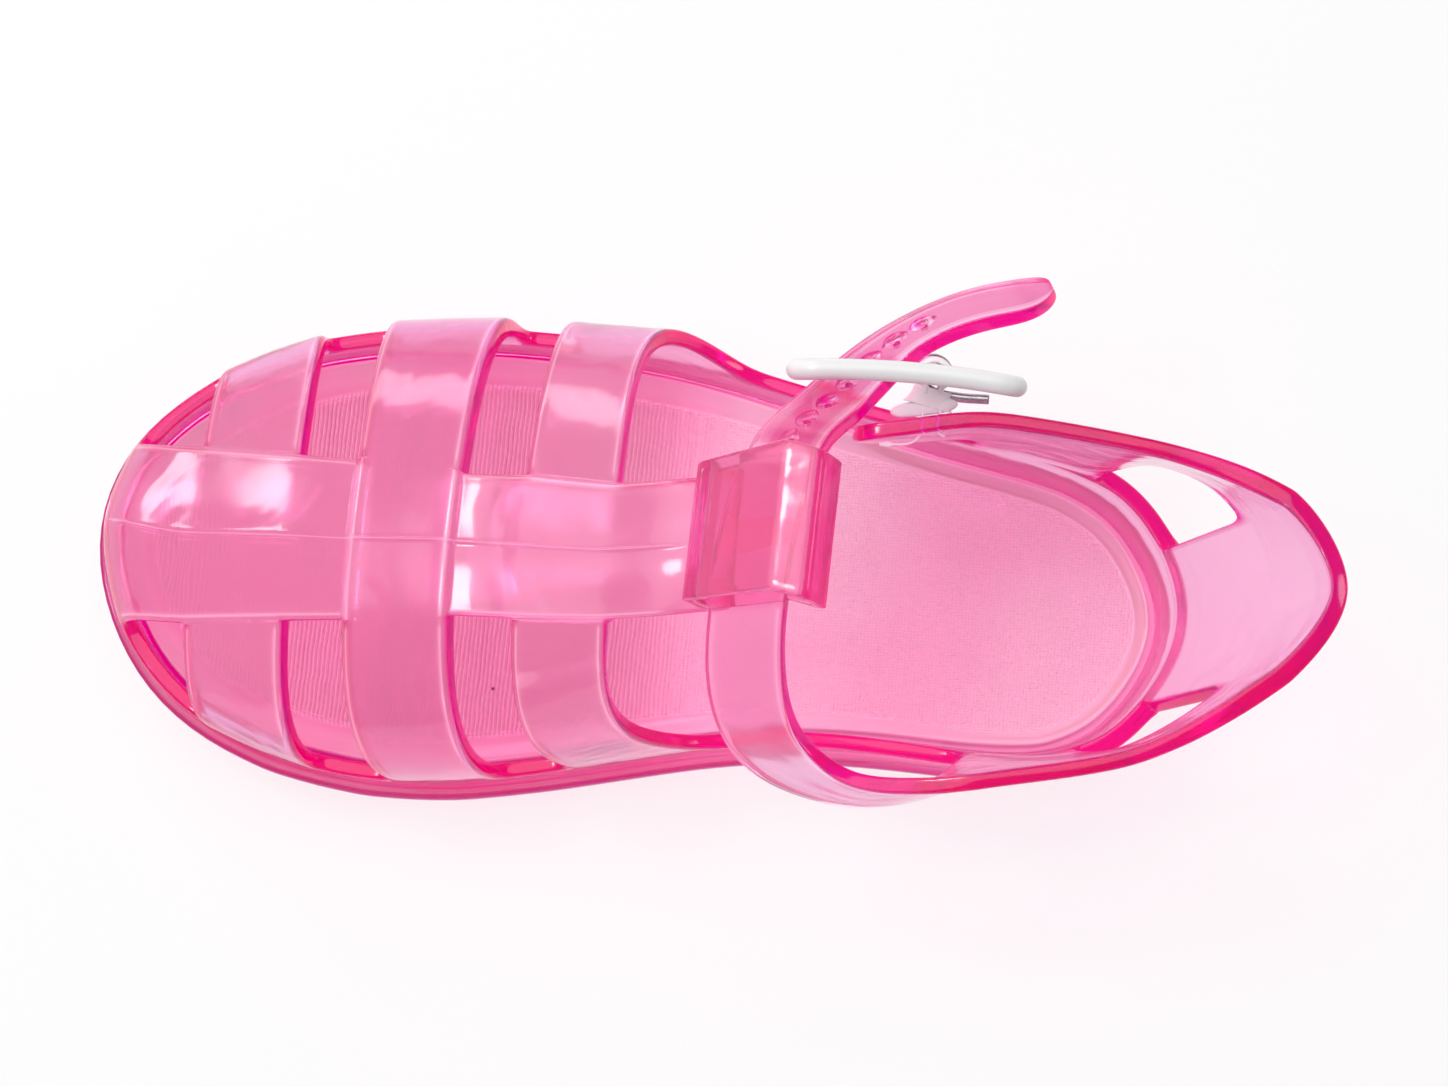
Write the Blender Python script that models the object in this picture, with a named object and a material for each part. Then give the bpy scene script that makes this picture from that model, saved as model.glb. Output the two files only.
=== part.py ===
"""A child's moulded jelly beach sandal for the right foot: a sole, a cage of straps moulded in one
piece, and a painted buckle. Lengths in the tables are in millimetres. X runs from the toe tip to the
heel, V from the middle to the outer (lateral) side and Z up from the ground."""

import math

import bmesh
import bpy
import numpy as np

MM = 0.001
GAP = 0.3
WELT = 1.8
WALL = 2.2
T_RAISE = 0.7
MAIN_RAISE = 1.4
STEP = 0.5
ROUND = 2.3
STRAP_CELLS = 4
SIDE_CELLS = 8
T_HALF_CELLS = 4
BAND_CELLS = 6
WALL_ROWS = 3

TOE_TIP = (0.0, 2.0)
HEEL_TIP = (155.8, 0.6)

# Outline of the welt, seen from above: X, inner edge V, outer edge V
OUTLINE = [
    (3.8, -12.4, 15.2),
    (8.0, -18.8, 20.6),
    (14.0, -24.3, 25.8),
    (21.0, -28.1, 30.2),
    (30.0, -31.0, 33.7),
    (40.0, -32.5, 36.0),
    (50.0, -32.6, 37.1),
    (60.0, -31.3, 37.4),
    (70.0, -29.2, 37.1),
    (80.0, -26.8, 36.2),
    (90.0, -24.5, 34.3),
    (100.0, -23.0, 31.8),
    (110.0, -22.5, 29.3),
    (120.0, -22.7, 26.9),
    (130.0, -22.9, 25.0),
    (139.0, -21.7, 22.8),
    (146.0, -18.2, 19.2),
    (151.5, -12.0, 13.2),
]

# Heights along the foot: X, ground side of the sole, top of the welt, rise of the rim above the welt,
# outward lean of the rim
HEIGHTS = [
    (0.0, 6.4, 11.6, 4.4, 0.2),
    (10.0, 3.6, 9.9, 5.0, 0.2),
    (24.0, 0.8, 8.4, 5.6, 0.2),
    (38.0, 0.0, 7.7, 6.0, 0.2),
    (58.0, 0.0, 7.6, 6.6, 0.2),
    (76.0, 0.0, 8.2, 7.4, 0.2),
    (92.0, 2.8, 9.5, 7.8, 0.3),
    (104.0, 3.4, 10.7, 7.8, 0.5),
    (116.0, 0.0, 11.9, 8.0, 1.0),
    (130.0, 0.0, 12.8, 8.6, 1.6),
    (145.0, 0.0, 13.2, 8.8, 2.6),
    (156.0, 0.6, 13.3, 8.8, 2.9),
]

# Crest of the T-strap: X, V, Z, half width to the inner side, half width to the outer side
CREST = [
    (15.6, -0.4, 25.2, 12.5, 12.6),
    (30.9, -0.9, 33.0, 11.6, 11.7),
    (39.2, -1.2, 36.4, 11.0, 11.3),
    (54.4, -1.0, 41.0, 10.0, 9.6),
    (62.8, -1.2, 43.4, 9.7, 9.8),
    (75.7, -1.4, 47.2, 9.0, 9.3),
    (86.0, -0.4, 51.2, 9.0, 9.4),
    (92.5, 0.3, 54.1, 9.0, 9.4),
]

# Edges of the three cross straps: X at the crest, X at the outer rim, X at the inner rim, how late each
# edge turns back on the outer and the inner side, and how far its outer shoulder swells
STRAP_EDGES = [
    (15.6, 15.2, 17.9, 2.0, 2.0, 0.0),
    (30.9, 29.5, 34.6, 2.0, 2.4, 0.0),
    (39.6, 39.9, 46.6, 2.0, 2.2, 0.0),
    (54.4, 58.4, 61.3, 2.0, 2.0, 0.4),
    (62.8, 67.0, 72.0, 2.0, 2.8, 1.2),
    (75.7, 92.0, 90.0, 4.4, 4.0, 2.2),
]
T_SWEEP = 2.0
T_TOE_V = (-13.6, 14.4)
QUARTER_FRONT_X = (126.5, 125.5)
HOLE_FRONT_X = (141.0, 141.0)
STAY_V = (-12.2, 11.2)

# Heel band and ankle strap, one ribbon from the buckle tab round the heel and over the instep to the
# tail: lower (front) edge X V Z, upper (rear) edge X V Z, cells to the next row, place
RIBBON = [
    (106.6, 19.0, 45.6, 106.6, 18.6, 47.4, 1, "tab"),
    (107.2, 19.3, 42.6, 107.2, 18.3, 49.4, 1, "tab"),
    (109.0, 19.8, 41.0, 109.0, 18.6, 50.2, 2, "tab"),
    (113.5, 20.7, 39.6, 113.3, 19.4, 50.8, 1, "tab"),
    (117.5, 21.7, 38.0, 117.0, 20.2, 51.4, 1, "tab"),
    (121.0, 23.1, 34.5, 120.0, 20.7, 51.8, 1, "tab"),
    (123.6, 24.4, 28.6, 122.5, 21.0, 52.0, 1, "tab"),
    (125.5, 25.0, 21.0, 124.8, 21.1, 52.2, 4, "outer quarter"),
    (141.0, 23.0, 22.0, 142.8, 19.3, 54.0, 1, "outer hole"),
    (146.4, 23.3, 29.6, 147.0, 18.7, 54.0, 1, "outer hole"),
    (150.4, 21.6, 34.8, 151.4, 17.9, 54.0, 1, "outer hole"),
    (154.4, 19.7, 37.6, 155.6, 17.0, 54.0, 1, "outer hole"),
    (158.0, 17.2, 39.0, 159.8, 15.8, 54.0, 1, "outer hole"),
    (161.4, 13.2, 39.4, 164.2, 14.0, 54.0, 4, "stay"),
    (165.2, 1.0, 40.0, 172.4, 1.4, 54.0, 4, "stay"),
    (160.4, -11.8, 39.4, 165.2, -12.0, 54.0, 1, "inner hole"),
    (156.4, -15.6, 38.8, 160.7, -15.7, 54.0, 1, "inner hole"),
    (152.6, -18.4, 37.0, 156.9, -18.4, 54.0, 1, "inner hole"),
    (148.8, -20.6, 33.6, 153.2, -20.8, 54.0, 1, "inner hole"),
    (145.0, -21.8, 28.5, 149.8, -22.6, 53.5, 1, "inner hole"),
    (141.0, -22.0, 22.0, 146.5, -24.2, 53.0, 4, "inner quarter"),
    (126.5, -22.5, 21.0, 128.4, -28.6, 50.3, 1, "strap"),
    (125.4, -24.6, 27.2, 126.2, -29.1, 50.0, 1, "strap"),
    (123.4, -27.2, 32.4, 124.2, -29.4, 49.7, 1, "strap"),
    (120.0, -29.4, 35.6, 121.8, -29.8, 49.2, 1, "strap"),
    (115.0, -31.0, 37.0, 118.0, -30.1, 48.5, 2, "strap"),
    (106.5, -31.2, 37.2, 110.8, -30.0, 47.6, 2, "strap"),
    (98.8, -29.5, 39.6, 105.5, -27.5, 48.0, 2, "strap"),
    (93.3, -26.0, 43.6, 101.7, -23.7, 50.2, 2, "strap"),
    (89.9, -19.4, 49.4, 99.7, -17.9, 53.9, 2, "strap"),
    (89.2, -10.4, 55.2, 99.0, -9.6, 59.1, 3, "strap"),
    (91.4, 9.0, 56.6, 101.2, 9.6, 60.6, 2, "strap"),
    (93.6, 15.4, 54.6, 102.9, 14.6, 58.6, 2, "strap"),
    (98.6, 21.8, 50.4, 106.6, 19.2, 54.8, 2, "strap"),
    (103.8, 28.2, 47.8, 109.8, 24.0, 52.6, 2, "strap"),
    (110.6, 34.2, 46.2, 113.8, 29.2, 52.3, 2, "strap"),
    (120.6, 39.6, 46.2, 122.8, 33.9, 52.4, 1, "strap"),
    (125.6, 40.8, 47.0, 128.0, 35.4, 51.6, 1, "strap"),
    (128.8, 41.2, 48.2, 130.6, 37.4, 50.9, 1, "strap"),
    (130.4, 40.8, 49.2, 131.2, 39.2, 50.2, 0, "strap"),
]
BEAD = 0.4

# Keeper sleeve on the instep
KEEPER_CENTRE = (95.4, 0.8, 58.6)
KEEPER_TILT = 22.0
KEEPER_SKEW = 0.02
KEEPER_HALF = 8.8
KEEPER_BOTTOM = -3.8
KEEPER_TOP = 3.9
KEEPER_RIDGE = 0.9
KEEPER_WALL = 1.7
KEEPER_FLOOR = 2.3
KEEPER_ROOF = 1.6
# Ends of the sleeve: place along the sleeve's depth, inner end V, outer end V
KEEPER_ENDS = [(-8.8, -9.2, 9.2), (3.6, -7.6, 12.2), (8.8, -8.8, 11.0)]

# Sole: grooves below as X of the middle, half width at the top, half width at the bottom
GROOVES = [28.0, 42.0, 56.0, 70.0, 124.0, 138.0]
GROOVE_HALF = 1.5
GROOVE_FLOOR = 0.8
GROOVE_DEPTH = 1.2
SOLE_ROWS = 30
SOLE_COLUMNS = 6
FILLET_RISE = 2.6
FACET_ALLOWANCE = 0.25

# Buckle frame in the plane of the strap at the outer ankle
FRAME_CENTRE = (112.5, 25.5, 48.3)
FRAME_LEAN = 14.5
FRAME_LONG = 29.2
FRAME_HIGH = 15.4
FRAME_BOW = 0.8
FRAME_WIRE = 1.4
FRAME_CORNER = 3.0
BAR_PLACE = 3.8
BAR_WIRE = 1.1
CLIP_STRIP = 0.9
CLIP_HIGH = 4.6
CLIP_SHIFT = -0.8
CLIP_LEGS = 1.15
CLIP_FOLD = 4.2
CLIP_DEPTH = -10.1
CLIP_SLANT = 0.18
PRONG_WIRE = 0.65
PRONG_SHIFT = -4.3


def hermite(places, rows, wanted, level=False):
    """Smooth curve through rows at the given places, with slopes from the neighbours on both sides. A
    level curve never runs past its rows, so that flat stretches stay flat."""
    places = np.asarray(places, float)
    rows = np.asarray(rows, float).reshape(len(places), -1)
    wanted = np.atleast_1d(np.asarray(wanted, float))
    slope = np.gradient(rows, places, axis=0)
    if level:
        step = np.diff(rows, axis=0) / np.diff(places)[:, None]
        same = step[1:] * step[:-1] > 0
        total = np.where(same, step[1:] + step[:-1], 1.0)
        slope[1:-1] = np.where(same, 2 * step[1:] * step[:-1] / total, 0.0)
    spot = np.clip(np.searchsorted(places, wanted, side="right") - 1, 0, len(places) - 2)
    width = places[spot + 1] - places[spot]
    t = np.clip((wanted - places[spot]) / width, 0.0, 1.0)[:, None]
    width = width[:, None]
    return (
        (2 * t**3 - 3 * t**2 + 1) * rows[spot]
        + (t**3 - 2 * t**2 + t) * width * slope[spot]
        + (3 * t**2 - 2 * t**3) * rows[spot + 1]
        + (t**3 - t**2) * width * slope[spot + 1]
    )


def closed_spline(points, count):
    """Periodic cubic spline through the points, sampled evenly in its parameter."""
    points = np.asarray(points, float)
    n = len(points)
    chord = np.linalg.norm(np.roll(points, -1, axis=0) - points, axis=1)
    before = np.roll(chord, 1)
    matrix = np.zeros((n, n))
    right = np.zeros((n, 2))
    for i in range(n):
        ahead = (i + 1) % n
        behind = (i - 1) % n
        matrix[i, behind] = before[i]
        matrix[i, i] = 2 * (before[i] + chord[i])
        matrix[i, ahead] = chord[i]
        right[i] = 6 * ((points[ahead] - points[i]) / chord[i] - (points[i] - points[behind]) / before[i])
    bend = np.linalg.solve(matrix, right)
    knots = np.concatenate([[0.0], np.cumsum(chord)])
    place = np.linspace(0.0, knots[-1], count, endpoint=False)
    spot = np.clip(np.searchsorted(knots, place, side="right") - 1, 0, n - 1)
    ahead = (spot + 1) % n
    h = chord[spot][:, None]
    a = (knots[spot + 1] - place)[:, None]
    b = (place - knots[spot])[:, None]
    curve = (
        bend[spot] * a**3 / (6 * h)
        + bend[ahead] * b**3 / (6 * h)
        + (points[spot] / h - bend[spot] * h / 6) * a
        + (points[ahead] / h - bend[ahead] * h / 6) * b
    )
    return curve, knots[len(OUTLINE) + 1] / knots[-1]


def outline_sides():
    """Outer and inner half of the welt outline from toe tip to heel tip, with normals and fractions."""
    rows = [TOE_TIP]
    rows += [(x, outer) for x, inner, outer in OUTLINE]
    rows += [HEEL_TIP]
    rows += [(x, inner) for x, inner, outer in reversed(OUTLINE)]
    count = 4000
    loop, heel_share = closed_spline(rows, count)
    heel = int(round(heel_share * count))
    along = np.roll(loop, -1, axis=0) - np.roll(loop, 1, axis=0)
    along /= np.linalg.norm(along, axis=1)[:, None]
    normal = np.stack([-along[:, 1], along[:, 0]], axis=1)
    sides = {}
    orders = {"outer": np.arange(0, heel + 1), "inner": np.arange(count, heel - 1, -1) % count}
    for side, order in orders.items():
        points = loop[order]
        steps = np.linalg.norm(np.diff(points, axis=0), axis=1)
        fraction = np.concatenate([[0.0], np.cumsum(steps)]) / steps.sum()
        sides[side] = (fraction, points, normal[order])
    return sides


SIDES = outline_sides()


def share_at_x(side, x):
    """Fraction of the way from toe to heel where a side of the outline reaches X."""
    fraction, points, normal = SIDES[side]
    return float(np.interp(x, points[:, 0], fraction))


def share_at_v(side, v, end):
    """Fraction of the way along a side where it reaches V, near the toe or near the heel."""
    fraction, points, normal = SIDES[side]
    half = fraction < 0.12 if end == "toe" else fraction > 0.9
    reach = np.abs(points[half, 1] - v)
    return float(fraction[half][np.argmin(reach)])


def heights(x):
    table = np.array(HEIGHTS)
    return hermite(table[:, 0], table[:, 1:], x, level=True)


def edge(side, share, inset):
    """Point of the outline moved inwards, with the normal there."""
    fraction, points, normal = SIDES[side]
    share = np.atleast_1d(share)
    point = np.stack([np.interp(share, fraction, points[:, k]) for k in (0, 1)], axis=1)
    out = np.stack([np.interp(share, fraction, normal[:, k]) for k in (0, 1)], axis=1)
    out /= np.linalg.norm(out, axis=1)[:, None]
    return point - inset * out, out


def wall_points(side, share, row):
    """Outer face of the low wall round the foot: row 0 at the welt, row 1 at the rim."""
    foot, out = edge(side, share, WELT)
    level = heights(foot[:, 0])
    lean = level[:, 3] * row**1.5
    plan = foot + out * lean[:, None]
    z = level[:, 1] + GAP + level[:, 2] * row
    return np.column_stack([plan, z])


def half_section(side, crest, rim, angle, sweep):
    """One side of a strap: a rounded arch from the crest of the foot down to the rim, whose end slides
    back along the rim as the strap sweeps back."""
    power = 2.0 / ROUND
    across = np.sin(angle) ** power
    down = np.maximum(np.cos(angle), 0.0) ** power
    turn = angle / (math.pi / 2)
    x = crest[0] + (rim[0] - crest[0]) * turn**sweep
    beside = rim_at_x(side, x)
    v = crest[1] + (beside[:, 1] - crest[1]) * across
    z = beside[:, 2] + (crest[2] - beside[:, 2]) * down
    return np.column_stack([x, v, z])


def rim_at_x(side, x):
    """Rim point of a side at X, read from a fine line of rim points."""
    line = RIM_LINES[side]
    return np.column_stack([np.interp(x, line[:, 0], line[:, k]) for k in range(3)])


RIM_LINES = {side: wall_points(side, np.linspace(0.0, 1.0, 600), 1.0) for side in ("inner", "outer")}


def section_row(crest_x, shares):
    """Crest point, half widths of the T-strap and the two rim points of one cross row."""
    table = np.array(CREST)
    v, z, inner, outer = hermite(table[:, 0], table[:, 1:], crest_x)[0]
    crest = np.array([crest_x, v, z])
    rims = {side: wall_points(side, shares[side], 1.0)[0] for side in ("inner", "outer")}
    return crest, {"inner": inner, "outer": outer}, rims


def t_angle(side, crest, width, rim):
    """Angle on the arch where the T-strap ends, found in a few steps because the rim end slides."""
    angle = 0.1
    for step in range(6):
        turn = angle / (math.pi / 2)
        x = crest[0] + (rim[0] - crest[0]) * turn**T_SWEEP
        reach = abs(rim_at_x(side, np.array([x]))[0, 1] - crest[1])
        angle = math.asin(min(width / reach, 1.0) ** (ROUND / 2.0))
    return angle


def t_row(row):
    """Points of one row of the T-strap from its inner edge to its outer edge."""
    crest, width, rims = row
    points = []
    for side, order in (("inner", range(T_HALF_CELLS, 0, -1)), ("outer", range(0, T_HALF_CELLS + 1))):
        for step in order:
            angle = t_angle(side, crest, width[side] * step / T_HALF_CELLS, rims[side])
            points.append(half_section(side, crest, rims[side], np.array([angle]), T_SWEEP)[0])
    return np.array(points)


class Sheet:
    """Outer face of a moulded wall, gathered from patches whose shared points are welded."""

    def __init__(self):
        self.keys = {}
        self.points = []
        self.raises = []
        self.flat = []
        self.quads = []

    def point(self, place, lift, level):
        key = tuple(np.round(np.asarray(place) * 500).astype(int))
        if key not in self.keys:
            self.keys[key] = len(self.points)
            self.points.append(np.asarray(place, float))
            self.raises.append(0.0)
            self.flat.append(False)
        spot = self.keys[key]
        self.raises[spot] = max(self.raises[spot], lift)
        self.flat[spot] = self.flat[spot] or level
        return spot

    def patch(self, grid, lift=None, flip=False, level_row=False):
        """Add a grid of points, rows by columns, as quads."""
        rows, columns = grid.shape[:2]
        lift = np.zeros((rows, columns)) if lift is None else lift
        spots = np.array(
            [
                [self.point(grid[i, j], lift[i, j], level_row and i == 0) for j in range(columns)]
                for i in range(rows)
            ]
        )
        for i in range(rows - 1):
            for j in range(columns - 1):
                quad = [spots[i, j], spots[i, j + 1], spots[i + 1, j + 1], spots[i + 1, j]]
                if flip:
                    quad.reverse()
                slim = [q for k, q in enumerate(quad) if q != quad[k - 1]]
                if len(slim) > 2:
                    self.quads.append(slim)

    def solid(self, wall):
        """Closed body: outer face, inner face one wall further in, and the borders between them."""
        points = np.array(self.points)
        normal = np.zeros_like(points)
        for quad in self.quads:
            a, b, c = points[quad[0]], points[quad[1]], points[quad[2]]
            d = points[quad[-1]]
            area = np.cross(c - a, d - b)
            for spot in quad:
                normal[spot] += area / max(np.linalg.norm(area), 1e-9) ** 0.5
        normal[np.array(self.flat), 2] = 0.0
        normal /= np.linalg.norm(normal, axis=1)[:, None]
        outer = points + normal * np.array(self.raises)[:, None]
        inner = points - normal * wall
        count = len(points)
        faces = [list(quad) for quad in self.quads]
        faces += [[spot + count for spot in reversed(quad)] for quad in self.quads]
        sides = {}
        for quad in self.quads:
            for k in range(len(quad)):
                sides[(quad[k - 1], quad[k])] = True
        for a, b in sides:
            if (b, a) not in sides:
                faces.append([b, a, a + count, b + count])
        return np.vstack([outer, inner]), faces


def strap_shares():
    """Fractions along both sides for each strap edge."""
    rows = []
    for crest_x, outer_x, inner_x, *turns in STRAP_EDGES:
        rows.append({"outer": share_at_x("outer", outer_x), "inner": share_at_x("inner", inner_x)})
    return rows


def between(first, last, cells):
    return np.linspace(first, last, cells + 1)


def side_stations(side):
    """Fractions of all stations of the wall along one side, with lines at every strap, hole and stay."""
    which = 0 if side == "inner" else 1
    straps = [row[side] for row in strap_shares()]
    marks = [0.0, share_at_v(side, T_TOE_V[which], "toe")] + straps
    marks += [share_at_x(side, QUARTER_FRONT_X[which]), share_at_x(side, HOLE_FRONT_X[which])]
    marks += [share_at_v(side, STAY_V[which], "heel"), 1.0]
    cells = [T_HALF_CELLS, 3, STRAP_CELLS, 2, STRAP_CELLS, 2, STRAP_CELLS, 6, 4, 4, 4]
    parts = [between(marks[i], marks[i + 1], cells[i])[:-1] for i in range(len(cells))]
    return np.concatenate(parts + [[1.0]])


def add_wall(sheet):
    """Low wall all round: up the outer side to the heel, then back down the inner side."""
    rows = np.linspace(0.0, 1.0, WALL_ROWS + 1)
    for side in ("outer", "inner"):
        stations = side_stations(side)
        grid = np.array([wall_points(side, stations, row) for row in rows])
        sheet.patch(grid, flip=side == "outer", level_row=True)


def t_rows():
    """Crest places and rim fractions of the rows of the T-strap behind its toe part, with raised edges."""
    shares = strap_shares()
    rows = []
    for i, (crest_x, *ends) in enumerate(STRAP_EDGES):
        if i == len(STRAP_EDGES) - 1:
            cells = 0
        else:
            cells = STRAP_CELLS if i % 2 == 0 else 2
        rows.append((crest_x, shares[i], MAIN_RAISE if i in (2, 3) else T_RAISE))
        for k in range(1, cells):
            part = k / cells
            middle = crest_x + (STRAP_EDGES[i + 1][0] - crest_x) * part
            mixed = {s: shares[i][s] + (shares[i + 1][s] - shares[i][s]) * part for s in shares[i]}
            rows.append((middle, mixed, MAIN_RAISE if i == 2 else T_RAISE))
    spot = [k for k, row in enumerate(rows) if row[0] == STRAP_EDGES[2][0]][0]
    rows.insert(spot, (STRAP_EDGES[2][0] - STEP, shares[2], T_RAISE))
    spot = [k for k, row in enumerate(rows) if row[0] == STRAP_EDGES[3][0]][0]
    rows.insert(spot + 1, (STRAP_EDGES[3][0] + STEP, shares[3], T_RAISE))
    for crest_x in (79.0, 82.5, 86.0, 89.2, 92.5):
        rows.append((crest_x, shares[5], T_RAISE if crest_x < 85 else 0.0))
    return rows


def add_t_strap(sheet):
    """T-strap from the toe rim over the foot to the keeper."""
    rows = [(section_row(x, shares), lift) for x, shares, lift in t_rows()]
    grid = [t_row(row) for row, lift in rows]
    lifts = [lift for row, lift in rows]
    first = grid[0]
    ahead = grid[1] - grid[0]
    ahead /= np.linalg.norm(ahead, axis=1)[:, None]
    toe = []
    up = []
    steps = range(-T_HALF_CELLS, T_HALF_CELLS + 1)
    for step in steps:
        side, which = ("inner", 0) if step < 0 else ("outer", 1)
        share = share_at_v(side, T_TOE_V[which], "toe") * abs(step) / T_HALF_CELLS
        toe.append(wall_points(side, share, 1.0)[0])
        foot, out = edge(side, share, 0.0)
        up.append([-0.45 * out[0, 0], -0.45 * out[0, 1], 1.0])
    toe = np.array(toe)
    up = np.array(up)
    reach = np.linalg.norm(first - toe, axis=1)[:, None]
    rim_grid = []
    for t in np.linspace(0.0, 1.0, 6)[:-1]:
        rim_grid.append(
            (2 * t**3 - 3 * t**2 + 1) * toe
            + (t**3 - 2 * t**2 + t) * reach * up
            + (3 * t**2 - 2 * t**3) * first
            + (t**3 - t**2) * reach * ahead
        )
    grid = np.array(rim_grid + grid)
    lift = np.array([0.0, 0.35, T_RAISE, T_RAISE, T_RAISE] + lifts)
    lift = np.repeat(lift[:, None], 2 * T_HALF_CELLS + 1, axis=1)
    sheet.patch(grid, lift, flip=True)


def add_cross_straps(sheet):
    """Side parts of the three cross straps, from the edges of the T-strap down to the rim."""
    shares = strap_shares()
    for first in (0, 2, 4):
        main = first == 2
        for side, sweep_column in (("outer", 3), ("inner", 4)):
            grid = []
            lift = []
            for k in range(STRAP_CELLS + 1):
                part = k / STRAP_CELLS
                x = STRAP_EDGES[first][0] * (1 - part) + STRAP_EDGES[first + 1][0] * part
                mixed = {s: shares[first][s] * (1 - part) + shares[first + 1][s] * part for s in shares[0]}
                crest, width, rims = section_row(x, mixed)
                start = t_angle(side, crest, width[side], rims[side])
                beside = t_angle(side, crest, width[side] + STEP, rims[side])
                angles = np.concatenate([[start], np.linspace(beside, math.pi / 2, SIDE_CELLS + 1)])
                sweeps = [STRAP_EDGES[first][sweep_column], STRAP_EDGES[first + 1][sweep_column]]
                sweep = sweeps[0] * (1 - part) + sweeps[1] * part
                row = half_section(side, crest, rims[side], angles, sweep)
                if side == "outer":
                    swell = STRAP_EDGES[first][5] * (1 - part) + STRAP_EDGES[first + 1][5] * part
                    row[:, 1] += swell * 3.5 * np.sin(angles) ** 4 * np.cos(angles)
                row[0] = half_section(side, crest, rims[side], angles[:1], T_SWEEP)[0]
                row[-1] = rims[side]
                grid.append(row)
                if main:
                    fade = np.clip((math.pi / 2 - angles) / 0.35, 0.0, 1.0)
                    lift.append(MAIN_RAISE * fade)
                else:
                    lift.append(np.concatenate([[T_RAISE], np.zeros(SIDE_CELLS + 1)]))
            sheet.patch(np.array(grid), np.array(lift), flip=side == "outer")


def ribbon_rows():
    """Lower and upper edge of the heel band and ankle strap at every station."""
    low = np.array([row[0:3] for row in RIBBON], float)
    top = np.array([row[3:6] for row in RIBBON], float)
    place = [row[7] for row in RIBBON]
    rim_rows = {}
    for i, row in enumerate(RIBBON):
        for side, which in (("outer", 1), ("inner", 0)):
            starts = place[i] == side + " quarter"
            ends = i > 0 and place[i - 1] == side + " quarter"
            if starts or ends:
                front = (side == "outer") == starts
                x = QUARTER_FRONT_X[which] if front else HOLE_FRONT_X[which]
                rim_rows[i] = (side, share_at_x(side, x))
                low[i] = wall_points(side, rim_rows[i][1], 1.0)[0]
    middle = (low + top) / 2
    along = np.concatenate([[0.0], np.cumsum(np.linalg.norm(np.diff(middle, axis=0), axis=1))])
    lows = []
    tops = []
    marks = []
    for i, row in enumerate(RIBBON):
        for k in range(max(row[6], 1)):
            if k > 0 or row[6] >= 0:
                part = k / max(row[6], 1)
                want = along[i] + (along[min(i + 1, len(RIBBON) - 1)] - along[i]) * part
                point = hermite(along, low, want)[0]
                if place[i].endswith("quarter"):
                    side, share = rim_rows[i]
                    share = share + (rim_rows[i + 1][1] - share) * part
                    point = wall_points(side, share, 1.0)[0]
                elif k == 0:
                    point = low[i]
                lows.append(point)
                tops.append(hermite(along, top, want)[0])
                marks.append(place[i])
    return np.array(lows), np.array(tops), marks


def add_ribbon(sheet):
    """Heel quarters, heel band, ankle strap and tail, then the back stay below the band."""
    lows, tops, marks = ribbon_rows()
    share = np.linspace(0.0, 1.0, BAND_CELLS + 1)
    grid = lows[None] * (1 - share[:, None, None]) + tops[None] * share[:, None, None]
    lift = np.zeros(grid.shape[:2])
    sheet.patch(grid, lift, flip=True)
    first = marks.index("stay")
    last = marks.index("inner hole")
    stations = {}
    for side, which in (("outer", 1), ("inner", 0)):
        stations[side] = between(share_at_v(side, STAY_V[which], "heel"), 1.0, 4)
    rim = [wall_points("outer", s, 1.0)[0] for s in stations["outer"]]
    rim += [wall_points("inner", s, 1.0)[0] for s in stations["inner"][-2::-1]]
    rim = np.array(rim)
    band = lows[first : last + 1]
    rows = np.linspace(0.0, 1.0, 5)[:, None, None]
    sheet.patch(rim[None] * (1 - rows) + band[None] * rows, flip=True)


def material(name, colour, roughness, metallic=0.0):
    found = bpy.data.materials.new(name)
    found.use_nodes = True
    shader = found.node_tree.nodes["Principled BSDF"]
    shader.inputs["Base Color"].default_value = (*colour, 1.0)
    shader.inputs["Roughness"].default_value = roughness
    shader.inputs["Metallic"].default_value = metallic
    return found


def body(name, points, faces, look):
    """One named object from millimetre points; flat quads stay, bent ones are split."""
    mesh = bpy.data.meshes.new(name)
    mesh.from_pydata((np.asarray(points) * MM).tolist(), [], [list(map(int, face)) for face in faces])
    shape = bmesh.new()
    shape.from_mesh(mesh)
    bmesh.ops.triangulate(shape, faces=shape.faces[:])
    bmesh.ops.recalc_face_normals(shape, faces=shape.faces[:])
    if shape.calc_volume(signed=True) < 0:
        bmesh.ops.reverse_faces(shape, faces=shape.faces[:])
    shape.to_mesh(mesh)
    shape.free()
    mesh.materials.append(look)
    thing = bpy.data.objects.new(name, mesh)
    bpy.context.scene.collection.objects.link(thing)
    return thing


def tube(path, radius, segments, closed, up):
    """Round wire along a path of points."""
    path = np.asarray(path, float)
    count = len(path)
    if closed:
        along = np.roll(path, -1, axis=0) - np.roll(path, 1, axis=0)
    else:
        along = np.gradient(path, axis=0)
    along /= np.linalg.norm(along, axis=1)[:, None]
    side = np.cross(along, np.asarray(up, float)[None])
    side /= np.linalg.norm(side, axis=1)[:, None]
    other = np.cross(along, side)
    turn = np.linspace(0.0, 2 * math.pi, segments, endpoint=False)
    ring = side[:, None] * np.cos(turn)[None, :, None] + other[:, None] * np.sin(turn)[None, :, None]
    points = (path[:, None] + radius * ring).reshape(-1, 3)
    faces = []
    for i in range(count if closed else count - 1):
        ahead = (i + 1) % count
        for k in range(segments):
            beside = (k + 1) % segments
            faces.append([i * segments + k, i * segments + beside, ahead * segments + beside, ahead * segments + k])
    if not closed:
        faces.append(list(range(segments))[::-1])
        faces.append([(count - 1) * segments + k for k in range(segments)])
    return points, faces


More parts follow.
